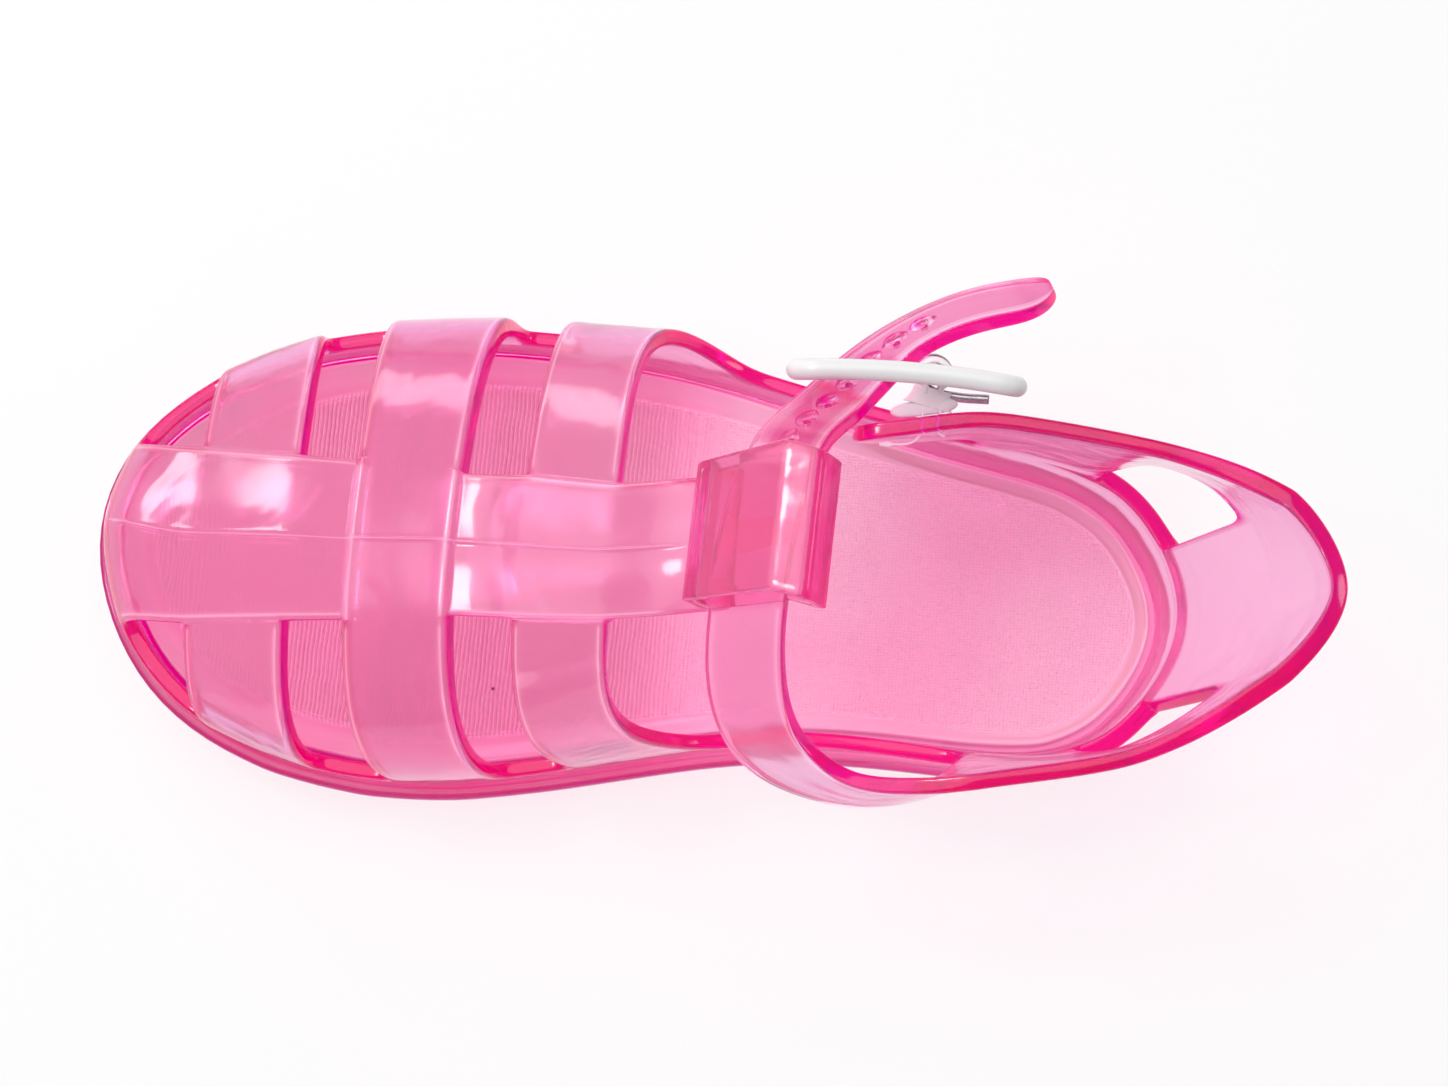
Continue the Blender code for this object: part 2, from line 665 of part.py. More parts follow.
def join(target, tool, how):
    """Unite or cut with the exact solver, then drop the tool."""
    change = target.modifiers.new(how, "BOOLEAN")
    change.operation = how
    change.solver = "EXACT"
    change.object = tool
    graph = bpy.context.evaluated_depsgraph_get()
    result = bpy.data.meshes.new_from_object(target.evaluated_get(graph))
    target.modifiers.clear()
    target.data = result
    bpy.data.objects.remove(tool)


def keeper_frame():
    tilt = math.radians(KEEPER_TILT)
    back = np.array([math.cos(tilt), 0.0, math.sin(tilt)])
    up = np.array([-math.sin(tilt), 0.0, math.cos(tilt)])
    return np.array(KEEPER_CENTRE), back, up


def keeper_loop(half, bottom, top, ridge, corner):
    """Cross loop of the sleeve: depth and height, with cut corners and a low ridge in the roof."""
    return [
        (-half, bottom + corner),
        (-half + corner, bottom),
        (half - corner, bottom),
        (half, bottom + corner),
        (half, top - corner),
        (half - corner, top),
        (3.6, top + ridge),
        (0.0, top + 0.75 * ridge),
        (-half + corner, top),
        (-half, top - corner),
    ]


def add_keeper(look):
    """Sleeve that holds the ankle strap, open at both ends."""
    centre, back, up = keeper_frame()
    outer = keeper_loop(KEEPER_HALF, KEEPER_BOTTOM, KEEPER_TOP, KEEPER_RIDGE, 1.2)
    inner = keeper_loop(
        KEEPER_HALF - KEEPER_WALL, KEEPER_BOTTOM + KEEPER_FLOOR, KEEPER_TOP - KEEPER_ROOF, KEEPER_RIDGE, 0.5
    )
    ends = np.array(KEEPER_ENDS)
    points = []
    for loop in (outer, inner):
        for share in np.linspace(0.0, 1.0, 4):
            for depth, height in loop:
                first = np.interp(depth, ends[:, 0], ends[:, 1])
                last = np.interp(depth, ends[:, 0], ends[:, 2])
                v = first + (last - first) * share
                place = centre + back * depth + up * height
                points.append([place[0] + KEEPER_SKEW * v, v, place[2]])
    n = len(outer)
    faces = []
    for layer in (0, 1):
        for row in range(3):
            for k in range(n):
                ahead = (k + 1) % n
                start = layer * 4 * n + row * n
                quad = [start + k, start + ahead, start + n + ahead, start + n + k]
                faces.append(quad if layer == 0 else quad[::-1])
    for row in (0, 3):
        for k in range(n):
            ahead = (k + 1) % n
            quad = [row * n + k, row * n + ahead, 4 * n + row * n + ahead, 4 * n + row * n + k]
            faces.append(quad if row == 3 else quad[::-1])
    return body("keeper", points, faces, look)


def build_upper(look):
    """Cage of straps in one wall, with the keeper joined on and the clip's slots cut in the tab."""
    sheet = Sheet()
    add_wall(sheet)
    add_t_strap(sheet)
    add_cross_straps(sheet)
    add_ribbon(sheet)
    points, faces = sheet.solid(WALL)
    upper = body("upper", points, faces, look)
    join(upper, add_keeper(look), "UNION")
    for slot in clip_slots(look):
        join(upper, slot, "DIFFERENCE")
    return upper


def footbed_drop(x):
    """Inset of the footbed's edge: wide round the forefoot and narrow at the heel."""
    return np.interp(x, [0.0, 20.0, 80.0, 120.0], [8.5, 9.5, 8.5, 6.8])


def sole_shares():
    """Fractions along both sides for the rows of the sole, and how deep each row lies in a groove."""
    lines = []
    for groove in GROOVES:
        lines += [groove + k for k in (-GROOVE_HALF, -GROOVE_FLOOR, GROOVE_FLOOR, GROOVE_HALF)]
    marks = {side: [0.0] + [share_at_x(side, x) for x in lines] + [1.0] for side in ("outer", "inner")}
    rows = {"outer": [], "inner": []}
    depth = []
    for i in range(len(lines) + 1):
        length = marks["outer"][i + 1] - marks["outer"][i]
        cells = max(1, int(round(length * SOLE_ROWS)))
        for side in rows:
            rows[side] += between(marks[side][i], marks[side][i + 1], cells)[:-1].tolist()
        depth += [GROOVE_DEPTH if i % 4 in (2, 3) else 0.0] + [0.0] * (cells - 1)
    return {side: np.array(found + [1.0]) for side, found in rows.items()}, depth + [0.0]


def build_sole(look):
    """Sole from rings that climb from the ground round the welt and down into the footbed."""
    shares, depth = sole_shares()
    loop = [("outer", s) for s in shares["outer"]] + [("inner", s) for s in shares["inner"][-2:0:-1]]
    ring_count = len(loop)
    side_count = len(shares["outer"])
    plan = np.array([edge(side, s, 0.0)[0][0] for side, s in loop])
    out = np.array([edge(side, s, 0.0)[1][0] for side, s in loop])
    bed = footbed_drop(plan[:, 0])
    seat = WELT + WALL + GAP + FACET_ALLOWANCE
    # Rings: inset from the outline, 0 to measure from the ground and 1 from the welt, height above that
    rings = [
        (4.6, 0, 0.0),
        (2.2, 0, 0.5),
        (1.1, 0, 1.9),
        (1.1, 1, -2.9),
        (0.1, 1, -2.2),
        (0.0, 1, -0.6),
        (0.5, 1, 0.0),
        (seat, 1, 0.0),
        (seat + 0.1, 1, FILLET_RISE),
        (seat + 0.7, 1, FILLET_RISE - 0.2),
        (seat + 0.7 + 0.45 * (bed - seat - 0.7), 1, 1.2),
        (bed, 1, 0.55),
        (bed + 3.0, 1, 0.3),
    ]
    points = []
    for inset, base, rise in rings:
        place = plan - out * np.broadcast_to(inset, ring_count)[:, None]
        points += np.column_stack([place, heights(place[:, 0])[:, base] + rise]).tolist()
    faces = []
    for r in range(len(rings) - 1):
        for k in range(ring_count):
            ahead = (k + 1) % ring_count
            start = r * ring_count
            faces.append([start + k, start + ahead, start + ring_count + ahead, start + ring_count + k])
    points = [np.array(p) for p in points]
    for top in (False, True):
        start = (len(rings) - 1) * ring_count if top else 0
        rows = []
        for i in range(side_count):
            left = start + i
            right = start + (ring_count - i) % ring_count
            if i in (0, side_count - 1):
                rows.append([left] * (SOLE_COLUMNS + 1))
                continue
            line = [left]
            for k in range(1, SOLE_COLUMNS):
                share = k / SOLE_COLUMNS
                place = points[left] * (1 - share) + points[right] * share
                if top:
                    place = place - np.array([0.0, 0.0, 0.3 * math.sin(math.pi * share)])
                else:
                    place[2] = heights(place[0])[0, 0] + depth[i]
                points.append(place)
                line.append(len(points) - 1)
            line.append(right)
            rows.append(line)
        for i in range(side_count - 1):
            for k in range(SOLE_COLUMNS):
                quad = [rows[i][k], rows[i + 1][k], rows[i + 1][k + 1], rows[i][k + 1]]
                slim = [q for j, q in enumerate(quad) if q != quad[j - 1]]
                if len(slim) > 2:
                    faces.append(slim if top else slim[::-1])
    return body("sole", points, faces, look)


def frame_axes():
    lean = math.radians(FRAME_LEAN)
    long = np.array([1.0, 0.013, 0.0])
    long /= np.linalg.norm(long)
    high = np.array([0.0, -math.sin(lean), math.cos(lean)])
    return np.array(FRAME_CENTRE), long, high, np.cross(long, high)


def build_frame(look):
    """Rectangular wire frame with rounded corners, gently bowed, and the bar across it."""
    centre, long, high, out = frame_axes()
    path = []
    half_long = FRAME_LONG / 2
    half_high = FRAME_HIGH / 2
    corners = [(1, 1, 0.0), (-1, 1, 90.0), (-1, -1, 180.0), (1, -1, 270.0)]
    for right, top, start in corners:
        for turn in np.radians(start + np.linspace(0.0, 90.0, 5)):
            a = right * (half_long - FRAME_CORNER) + FRAME_CORNER * math.cos(turn)
            b = top * (half_high - FRAME_CORNER) + FRAME_CORNER * math.sin(turn)
            path.append((a, b))
        nxt = {0.0: (0.0, half_high), 90.0: None, 180.0: (0.0, -half_high), 270.0: None}[start]
        if nxt:
            for a in (6.0, 0.0, -6.0) if start == 0.0 else (-6.0, 0.0, 6.0):
                path.append((a, nxt[1]))
    bow = [FRAME_BOW * (1 - (a / half_long) ** 2) for a, b in path]
    place = [centre + long * a + high * b - out * c for (a, b), c in zip(path, bow)]
    frame = body("buckle_frame", *tube(place, FRAME_WIRE, 10, True, out), look)
    middle = bar_middle()
    reach = high * (half_high + 0.3)
    bar = body("bar", *tube([middle - reach, middle, middle + reach], BAR_WIRE, 10, False, out), look)
    join(frame, bar, "UNION")
    return frame


def bar_middle():
    centre, long, high, out = frame_axes()
    bow = FRAME_BOW * (1 - (BAR_PLACE / (FRAME_LONG / 2)) ** 2)
    return centre + long * BAR_PLACE - out * bow


def clip_path():
    """Middle line of the clip's strip in the plane across the bar: folded end, leg, eye, leg, end."""
    eye = BAR_WIRE + GAP + CLIP_STRIP / 2 + 0.1
    path = []
    path.append((-CLIP_FOLD, CLIP_DEPTH - CLIP_SLANT * CLIP_FOLD))
    path.append((-CLIP_LEGS - 0.6, CLIP_DEPTH - CLIP_SLANT * (CLIP_LEGS + 0.6)))
    path.append((-CLIP_LEGS, CLIP_DEPTH + 0.4))
    path.append((-CLIP_LEGS, -3.0))
    for turn in np.radians(np.linspace(235.0, -55.0, 9)):
        path.append((eye * math.cos(turn), eye * math.sin(turn)))
    path.append((CLIP_LEGS, -3.0))
    path.append((CLIP_LEGS, CLIP_DEPTH + 0.9))
    path.append((CLIP_LEGS + 0.6, CLIP_DEPTH + CLIP_SLANT * (CLIP_LEGS + 0.6)))
    path.append((CLIP_FOLD, CLIP_DEPTH + CLIP_SLANT * CLIP_FOLD))
    return np.array(path)


def clip_axes():
    """Directions of the clip: along the tab, up the bar and out from the tab."""
    centre, long, high, out = frame_axes()
    return long, high, -out


def clip_strip(path, half, look, name):
    """Flat strip swept along a path in the plane across the bar."""
    along, high, out = clip_axes()
    middle = bar_middle() + high * CLIP_SHIFT
    step = np.gradient(path, axis=0)
    step /= np.linalg.norm(step, axis=1)[:, None]
    side = np.stack([-step[:, 1], step[:, 0]], axis=1)
    points = []
    for place, normal in zip(path, side):
        for across, tall in ((-half, -1), (half, -1), (half, 1), (-half, 1)):
            spot = place + normal * across
            points.append(middle + along * spot[0] + out * spot[1] + high * tall * CLIP_HIGH / 2)
    faces = []
    for i in range(len(path) - 1):
        for k in range(4):
            beside = (k + 1) % 4
            faces.append([4 * i + k, 4 * i + beside, 4 * i + 4 + beside, 4 * i + 4 + k])
    faces.append([3, 2, 1, 0])
    last = 4 * (len(path) - 1)
    faces.append([last, last + 1, last + 2, last + 3])
    return body(name, points, faces, look)


def clip_slots(look):
    """Two slots in the tab, a little wider than the clip's legs."""
    along, high, out = clip_axes()
    middle = bar_middle() + high * CLIP_SHIFT
    slots = []
    for place in (-CLIP_LEGS, CLIP_LEGS):
        points = []
        half = CLIP_STRIP / 2 + GAP
        tall = CLIP_HIGH / 2 + GAP
        for depth in (-11.0, -3.4):
            for a, b in ((-half, -tall), (half, -tall), (half, tall), (-half, tall)):
                points.append(middle + along * (place + a) + out * depth + high * b)
        faces = [[0, 1, 2, 3], [4, 5, 6, 7]]
        faces += [[k, (k + 1) % 4, 4 + (k + 1) % 4, 4 + k] for k in range(4)]
        slots.append(body("slot", points, faces, look))
    return slots


def build_prong(look):
    """Steel wire with an eye round the bar and a pin that hangs to the rear, inside the frame."""
    along, high, out = clip_axes()
    middle = bar_middle() + high * PRONG_SHIFT
    eye = BAR_WIRE + GAP + PRONG_WIRE + 0.05
    path = []
    for turn in np.radians(np.linspace(-30.0, 250.0, 12)):
        path.append((eye * math.cos(turn), eye * math.sin(turn)))
    last = path[-1]
    path.append((last[0] + 1.2, last[1] - 0.5))
    path.append((last[0] + 4.0, last[1] - 0.9))
    path.append((last[0] + 8.5, last[1] - 0.9))
    place = [middle + along * a + out * b for a, b in path]
    return body("buckle_prong", *tube(place, PRONG_WIRE, 8, False, high), look)


def centre_on_ground(things):
    """Move everything so that the middle of the whole box stands on the origin."""
    low = np.full(3, 1e9)
    high = np.full(3, -1e9)
    for thing in things:
        for vertex in thing.data.vertices:
            low = np.minimum(low, vertex.co)
            high = np.maximum(high, vertex.co)
    shift = -np.array([(low[0] + high[0]) / 2, (low[1] + high[1]) / 2, low[2]])
    for thing in things:
        for vertex in thing.data.vertices:
            vertex.co = vertex.co + type(vertex.co)(shift)


for old in list(bpy.data.objects):
    bpy.data.objects.remove(old)

clear_pink = material("clear_pink_pvc", (0.93, 0.16, 0.45), 0.2)
white_paint = material("white_paint", (0.9, 0.9, 0.9), 0.3)
steel = material("steel", (0.55, 0.55, 0.56), 0.3, 1.0)

pieces = [
    build_sole(clear_pink),
    build_upper(clear_pink),
    build_frame(white_paint),
    clip_strip(clip_path(), CLIP_STRIP / 2, white_paint, "buckle_clip"),
    build_prong(steel),
]
centre_on_ground(pieces)
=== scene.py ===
# %% [markdown]
# # A clear pink beach sandal
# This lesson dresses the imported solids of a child's jelly sandal. The real shoe is moulded from clear
# pink vinyl: light passes through the thin straps, while the thick edges glow deep magenta. The solids
# already have the right shape, so each piece here repeats it with finer, rounded surfaces.

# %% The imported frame
import math

import bmesh
import bpy
import numpy as np
from mathutils import Matrix


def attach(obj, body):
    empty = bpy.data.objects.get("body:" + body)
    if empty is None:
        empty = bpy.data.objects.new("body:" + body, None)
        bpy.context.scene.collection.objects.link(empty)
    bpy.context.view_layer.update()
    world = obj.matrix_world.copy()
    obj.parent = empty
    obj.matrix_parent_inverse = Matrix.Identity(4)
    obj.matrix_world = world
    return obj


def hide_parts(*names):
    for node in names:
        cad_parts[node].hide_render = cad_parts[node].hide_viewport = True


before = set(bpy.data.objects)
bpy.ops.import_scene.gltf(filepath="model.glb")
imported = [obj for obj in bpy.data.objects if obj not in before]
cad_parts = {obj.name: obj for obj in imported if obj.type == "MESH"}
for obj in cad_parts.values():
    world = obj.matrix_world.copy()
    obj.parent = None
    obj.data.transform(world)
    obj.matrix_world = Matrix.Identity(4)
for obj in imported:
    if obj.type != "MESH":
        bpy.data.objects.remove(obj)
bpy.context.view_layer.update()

# %% [markdown]
# ## Units and small helpers
# The tables below are in millimetres in the shoe's own frame: X from the toe tip to the heel, V from the
# middle to the outer side, Z up from the ground. One shift and one scale bring a point into the frame of
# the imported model. Grids of points become quads by index arithmetic on whole arrays.

# %% Helpers
MM = 0.001
SHIFT = np.array([86.2, 4.2526, 0.0])


def to_row(points):
    """Point in metres = (point in millimetres - shift) / 1000."""
    return (np.asarray(points, float) - SHIFT) * MM


def unit(vectors):
    """Each vector divided by its own length."""
    return vectors / np.maximum(np.linalg.norm(vectors, axis=-1, keepdims=True), 1e-12)


def grid_quads(rows, columns, start=0, wrap_rows=False, wrap_columns=False):
    """Quads between neighbours of a rows by columns grid of point numbers, wrapped where asked."""
    index = start + np.arange(rows * columns).reshape(rows, columns)
    if wrap_rows:
        index = np.vstack([index, index[:1]])
    if wrap_columns:
        index = np.hstack([index, index[:, :1]])
    corners = [index[:-1, :-1], index[:-1, 1:], index[1:, 1:], index[1:, :-1]]
    return np.stack(corners, axis=-1).reshape(-1, 4)


def piece(name, points, faces, firm=None, rim=None):
    """Smooth mesh object at the origin from millimetre points and faces given as numbers; points marked
    firm keep their place when the mesh is rounded, and rim tells how deep a point's colour is, or below 0
    how bright a painted highlight line is there."""
    mesh = bpy.data.meshes.new(name)
    mesh.from_pydata(to_row(points).tolist(), [], [list(map(int, face)) for face in faces])
    if firm is not None:
        mesh.attributes.new("crease_vert", "FLOAT", "POINT").data.foreach_set("value", firm.astype(float))
    if rim is not None:
        mesh.attributes.new("rim", "FLOAT", "POINT").data.foreach_set("value", np.asarray(rim, float))
    mesh.shade_smooth()
    thing = bpy.data.objects.new(name, mesh)
    bpy.context.scene.collection.objects.link(thing)
    return thing


def applied(thing):
    """Replace the object's mesh by its mesh with all modifiers applied."""
    graph = bpy.context.evaluated_depsgraph_get()
    result = bpy.data.meshes.new_from_object(thing.evaluated_get(graph))
    thing.modifiers.clear()
    thing.data = result
    return thing


def rounded(thing, levels):
    """Round a cage with a subdivision surface and keep the result."""
    change = thing.modifiers.new("round", "SUBSURF")
    change.levels = levels
    change.render_levels = levels
    return applied(thing)


def combine(target, tool, how):
    """Unite with or cut by a closed tool, then drop the tool."""
    change = target.modifiers.new(how, "BOOLEAN")
    change.operation = how
    change.solver = "EXACT"
    change.object = tool
    applied(target)
    bpy.data.objects.remove(tool)
    return target


def wear(thing, look, node):
    """Give a piece its material, let it ride, and let it stand for a CAD node."""
    thing.data.materials.clear()
    thing.data.materials.append(look)
    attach(thing, "root")
    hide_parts(node)
    triangles = sum(len(p.vertices) - 2 for p in thing.data.polygons)
    print(thing.name, "stands for", node, "with", triangles, "triangles")


# %% [markdown]
# ## The last
# Everything on the shoe hangs on the outline of the welt and on a table of heights along the foot. A
# closed cubic spline runs through the outline rows, and a level Hermite curve through the heights, so
# that the flat parts of the sole stay flat. The same tables make the solids, which keeps both in step.

# %% Tables of the last
GAP = 0.3
WELT = 1.8
WALL = 2.2
ROUND = 2.3
TOE_TIP = (0.0, 2.0)
HEEL_TIP = (155.8, 0.6)

# X, inner edge V, outer edge V
OUTLINE = np.array([
    (3.8, -12.4, 15.2), (8.0, -18.8, 20.6), (14.0, -24.3, 25.8), (21.0, -28.1, 30.2),
    (30.0, -31.0, 33.7), (40.0, -32.5, 36.0), (50.0, -32.6, 37.1), (60.0, -31.3, 37.4),
    (70.0, -29.2, 37.1), (80.0, -26.8, 36.2), (90.0, -24.5, 34.3), (100.0, -23.0, 31.8),
    (110.0, -22.5, 29.3), (120.0, -22.7, 26.9), (130.0, -22.9, 25.0), (139.0, -21.7, 22.8),
    (146.0, -18.2, 19.2), (151.5, -12.0, 13.2),
])

# X, ground side of the sole, top of the welt, rise of the rim, outward lean of the rim
HEIGHTS = np.array([
    (0.0, 6.4, 11.6, 4.4, 0.2), (10.0, 3.6, 9.9, 5.0, 0.2), (24.0, 0.8, 8.4, 5.6, 0.2),
    (38.0, 0.0, 7.7, 6.0, 0.2), (58.0, 0.0, 7.6, 6.6, 0.2), (76.0, 0.0, 8.2, 7.4, 0.2),
    (92.0, 2.8, 9.5, 7.8, 0.3), (104.0, 3.4, 10.7, 7.8, 0.5), (116.0, 0.0, 11.9, 8.0, 1.0),
    (130.0, 0.0, 12.8, 8.6, 1.6), (145.0, 0.0, 13.2, 8.8, 2.6), (156.0, 0.6, 13.3, 8.8, 2.9),
])


def hermite(places, rows, wanted, level=False):
    """Cubic between neighbouring rows with slopes from both sides; a level one uses the harmonic mean of
    the two slopes, or none where they differ in sign, so that it never overshoots."""
    slope = np.gradient(rows, places, axis=0)
    if level:
        step = np.diff(rows, axis=0) / np.diff(places)[:, None]
        same = step[1:] * step[:-1] > 0
        total = np.where(same, step[1:] + step[:-1], 1.0)
        slope[1:-1] = np.where(same, 2 * step[1:] * step[:-1] / total, 0.0)
    spot = np.clip(np.searchsorted(places, wanted, side="right") - 1, 0, len(places) - 2)
    width = (places[spot + 1] - places[spot])[..., None]
    t = np.clip((wanted - places[spot])[..., None] / width, 0.0, 1.0)
    return (
        (2 * t**3 - 3 * t**2 + 1) * rows[spot]
        + (t**3 - 2 * t**2 + t) * width * slope[spot]
        + (3 * t**2 - 2 * t**3) * rows[spot + 1]
        + (t**3 - t**2) * width * slope[spot + 1]
    )


def closed_spline(points, count):
    """Periodic cubic spline: the second derivatives solve one band system round the whole loop."""
    n = len(points)
    ahead = np.roll(points, -1, axis=0)
    chord = np.linalg.norm(ahead - points, axis=1)
    before = np.roll(chord, 1)
    eye = np.eye(n)
    band = np.diag(2 * (before + chord))
    band += chord[:, None] * np.roll(eye, 1, axis=1) + before[:, None] * np.roll(eye, -1, axis=1)
    turn = (ahead - points) / chord[:, None] - (points - np.roll(points, 1, axis=0)) / before[:, None]
    bend = np.linalg.solve(band, 6 * turn)
    knots = np.concatenate([[0.0], np.cumsum(chord)])
    place = np.linspace(0.0, knots[-1], count, endpoint=False)
    spot = np.clip(np.searchsorted(knots, place, side="right") - 1, 0, n - 1)
    nxt = (spot + 1) % n
    h = chord[spot][:, None]
    a = (knots[spot + 1] - place)[:, None]
    b = (place - knots[spot])[:, None]
    curve = bend[spot] * a**3 / (6 * h) + bend[nxt] * b**3 / (6 * h)
    curve += (points[spot] / h - bend[spot] * h / 6) * a + (points[nxt] / h - bend[nxt] * h / 6) * b
    return curve, knots[len(OUTLINE) + 1] / knots[-1]


# %% Sides of the outline
def outline_sides(count=4000):
    """Fraction from toe to heel, point and outward normal along the outer and the inner side."""
    rows = np.vstack([[TOE_TIP], OUTLINE[:, [0, 2]], [HEEL_TIP], OUTLINE[::-1, [0, 1]]])
    loop, heel_share = closed_spline(rows, count)
    heel = int(round(heel_share * count))
    along = unit(np.roll(loop, -1, axis=0) - np.roll(loop, 1, axis=0))
    normal = np.stack([-along[:, 1], along[:, 0]], axis=1)
    orders = {"outer": np.arange(0, heel + 1), "inner": np.arange(count, heel - 1, -1) % count}
    sides = {}
    for side, order in orders.items():
        steps = np.linalg.norm(np.diff(loop[order], axis=0), axis=1)
        sides[side] = (np.concatenate([[0.0], np.cumsum(steps)]) / steps.sum(), loop[order], normal[order])
    return sides


SIDES = outline_sides()


def share_at_x(side, x):
    """Fraction of the way from toe to heel where a side reaches X."""
    fraction, points, _ = SIDES[side]
    return np.interp(x, points[:, 0], fraction)


TOE_END = 0.12
HEEL_END = 0.9


def share_at_v(side, v, end):
    """Fraction of the way where a side reaches V, near the toe or near the heel."""
    fraction, points, _ = SIDES[side]
    half = fraction < TOE_END if end == "toe" else fraction > HEEL_END
    return float(fraction[half][np.argmin(np.abs(points[half, 1] - v))])


def heights(x):
    """Ground, welt, rise and lean at X."""
    return hermite(HEIGHTS[:, 0], HEIGHTS[:, 1:], np.asarray(x, float), level=True)


def edge(side, share, inset):
    """Outline point moved in by the inset along the normal, and that normal."""
    fraction, points, normal = SIDES[side]
    point = np.stack([np.interp(share, fraction, points[:, k]) for k in (0, 1)], axis=-1)
    out = unit(np.stack([np.interp(share, fraction, normal[:, k]) for k in (0, 1)], axis=-1))
    return point - np.asarray(inset)[..., None] * out, out


def wall_points(side, share, row):
    """Outer face of the low wall: row 0 at the welt and row 1 at the rim, leaning out by row to the
    power of one and a half."""
    foot, out = edge(side, np.asarray(share, float), WELT)
    level = heights(foot[..., 0])
    plan = foot + out * (level[..., 3] * row**1.5)[..., None]
    z = level[..., 1] + GAP + level[..., 2] * row
    return np.concatenate([plan, z[..., None]], axis=-1)


RIM = {side: wall_points(side, np.linspace(0.0, 1.0, 600), 1.0) for side in SIDES}


def rim_at_x(side, x):
    """Rim point of a side at X, from a fine line of rim points."""
    return np.stack([np.interp(x, RIM[side][:, 0], RIM[side][:, k]) for k in range(3)], axis=-1)


print("Outline runs", round(float(np.ptp(SIDES["outer"][1][:, 0])), 1), "mm from toe to heel")

# %% [markdown]
# ## The cage of straps: sheets
# On the real shoe the wall, the straps, the heel band and the ankle strap are one moulding about 2 mm
# thick. It could be cut from a block with Booleans, but a sheet is closer to how it was designed: each
# strap is a grid between two edges, neighbouring grids share their edge points, and the wall thickness
# comes last. Extra lines close to each free edge keep it firm when the cage is rounded later. Along these
# lines the real straps have a fine bead, and each sheet also says where a painted highlight line runs on it.

# %% Tables of the straps
T_RAISE = 0.7
T_SAG = 0.32
EDGE_SHARE = 0.75
EDGE_BEAD = 0.25
MAIN_RAISE = 1.4
STEP = 0.5
SEAM_RAISE = 0.35
# Strength of the painted highlight line along the seam of the T-strap
SEAM_HIGHLIGHT = 1.0
T_SWEEP = 2.0
T_TOE_V = {"inner": -13.6, "outer": 14.4}
QUARTER_FRONT_X = {"inner": 126.5, "outer": 125.5}
HOLE_FRONT_X = {"inner": 141.0, "outer": 141.0}
STAY_V = {"inner": -12.2, "outer": 11.2}
LEDGE_RAISE = 0.8
LEDGE_X = ([128.0, 140.0], [0.0, 1.0])
LEDGE_FROM = 0.9

# Lines across a strap, the T-strap, the wall, the ribbon and the stay, as fractions
STRAP_LINES = np.array([0.0, 0.06, 0.13, 0.5, 0.87, 0.94, 1.0])
GAP_LINES = np.array([0.0, 0.35, 0.7, 1.0])
EDGE_LINE = 0.93
T_HALF = np.array([0.02, 0.1, 0.4, 0.85, EDGE_LINE, 1.0])
T_LINES = np.concatenate([-T_HALF[::-1], [0.0], T_HALF])
WALL_LINES = np.array([0.0, 0.1, 0.5, 0.8, 0.9, 1.0])
RIBBON_LINES = np.array([0.0, 0.045, 0.25, 0.48, 0.68, 0.73, 0.75, 0.8, 0.955, 1.0])
STAY_LINES = np.array([0.0, 0.06, 0.22, 0.41, 0.6, 0.8, 1.0])
STAY_RISE = np.array([0.0, 0.03, 0.12, 0.4, 0.7, 1.0])

# Crest of the T-strap: X, V, Z, inner half width, outer half width
CREST = np.array([
    (15.6, -0.4, 25.2, 12.5, 12.6), (30.9, -0.9, 33.0, 11.6, 11.7), (39.2, -1.2, 36.4, 11.0, 11.3),
    (54.4, -1.0, 41.0, 10.0, 9.6), (62.8, -1.2, 43.4, 9.7, 9.8), (75.7, -1.4, 47.2, 9.0, 9.3),
    (86.0, -0.4, 51.2, 9.0, 9.4), (92.5, 0.3, 54.1, 9.0, 9.4),
])

# Strap edges: X at the crest, outer rim X, inner rim X, outer sweep, inner sweep, outer shoulder swell
STRAP_EDGES = np.array([
    (15.6, 15.2, 17.9, 2.0, 2.0, 0.0), (30.9, 29.5, 34.6, 2.0, 2.4, 0.0),
    (39.6, 39.9, 46.6, 2.0, 2.2, 0.0), (54.4, 58.4, 61.3, 2.0, 2.0, 0.4),
    (62.8, 67.0, 72.0, 2.0, 2.8, 1.2), (75.7, 92.0, 90.0, 4.4, 4.0, 2.2),
])
STRAP_SHARES = {
    "outer": share_at_x("outer", STRAP_EDGES[:, 1]),
    "inner": share_at_x("inner", STRAP_EDGES[:, 2]),
}

sheets = []


def add_sheet(grid, lift=None, turned=False, inner_lift=None, light=None):
    """Keep a grid of points with how far each stands proud outside and inside, and how bright a painted
    highlight line it carries.
    """
    none = np.zeros(grid.shape[:2])
    lift, inner_lift, light = (none if value is None else value for value in (lift, inner_lift, light))
    sheets.append((grid, lift, inner_lift, light, turned))


# %% Wall round the foot
def side_stations(side):
    """Fractions of the wall's stations, with lines at each strap edge, hole and stay."""
    toe = share_at_v(side, T_TOE_V[side], "toe") * T_LINES[T_LINES >= 0]
    straps = STRAP_SHARES[side]
    quarter = share_at_x(side, QUARTER_FRONT_X[side])
    hole = share_at_x(side, HOLE_FRONT_X[side])
    stay = share_at_v(side, STAY_V[side], "heel")
    even = np.linspace(0.0, 1.0, 5)
    runs = [toe, toe[-1] + (straps[0] - toe[-1]) * GAP_LINES]
    for first in (0, 2, 4):
        runs.append(straps[first] + (straps[first + 1] - straps[first]) * STRAP_LINES)
        after = straps[first + 2] if first < 4 else quarter
        count = 4 if first < 4 else 7
        runs.append(straps[first + 1] + (after - straps[first + 1]) * np.linspace(0.0, 1.0, count))
    runs += [quarter + (hole - quarter) * even, hole + (stay - hole) * even]
    runs.append(stay + (1.0 - stay) * STAY_LINES)
    return np.concatenate([run[:-1] for run in runs] + [[1.0]])


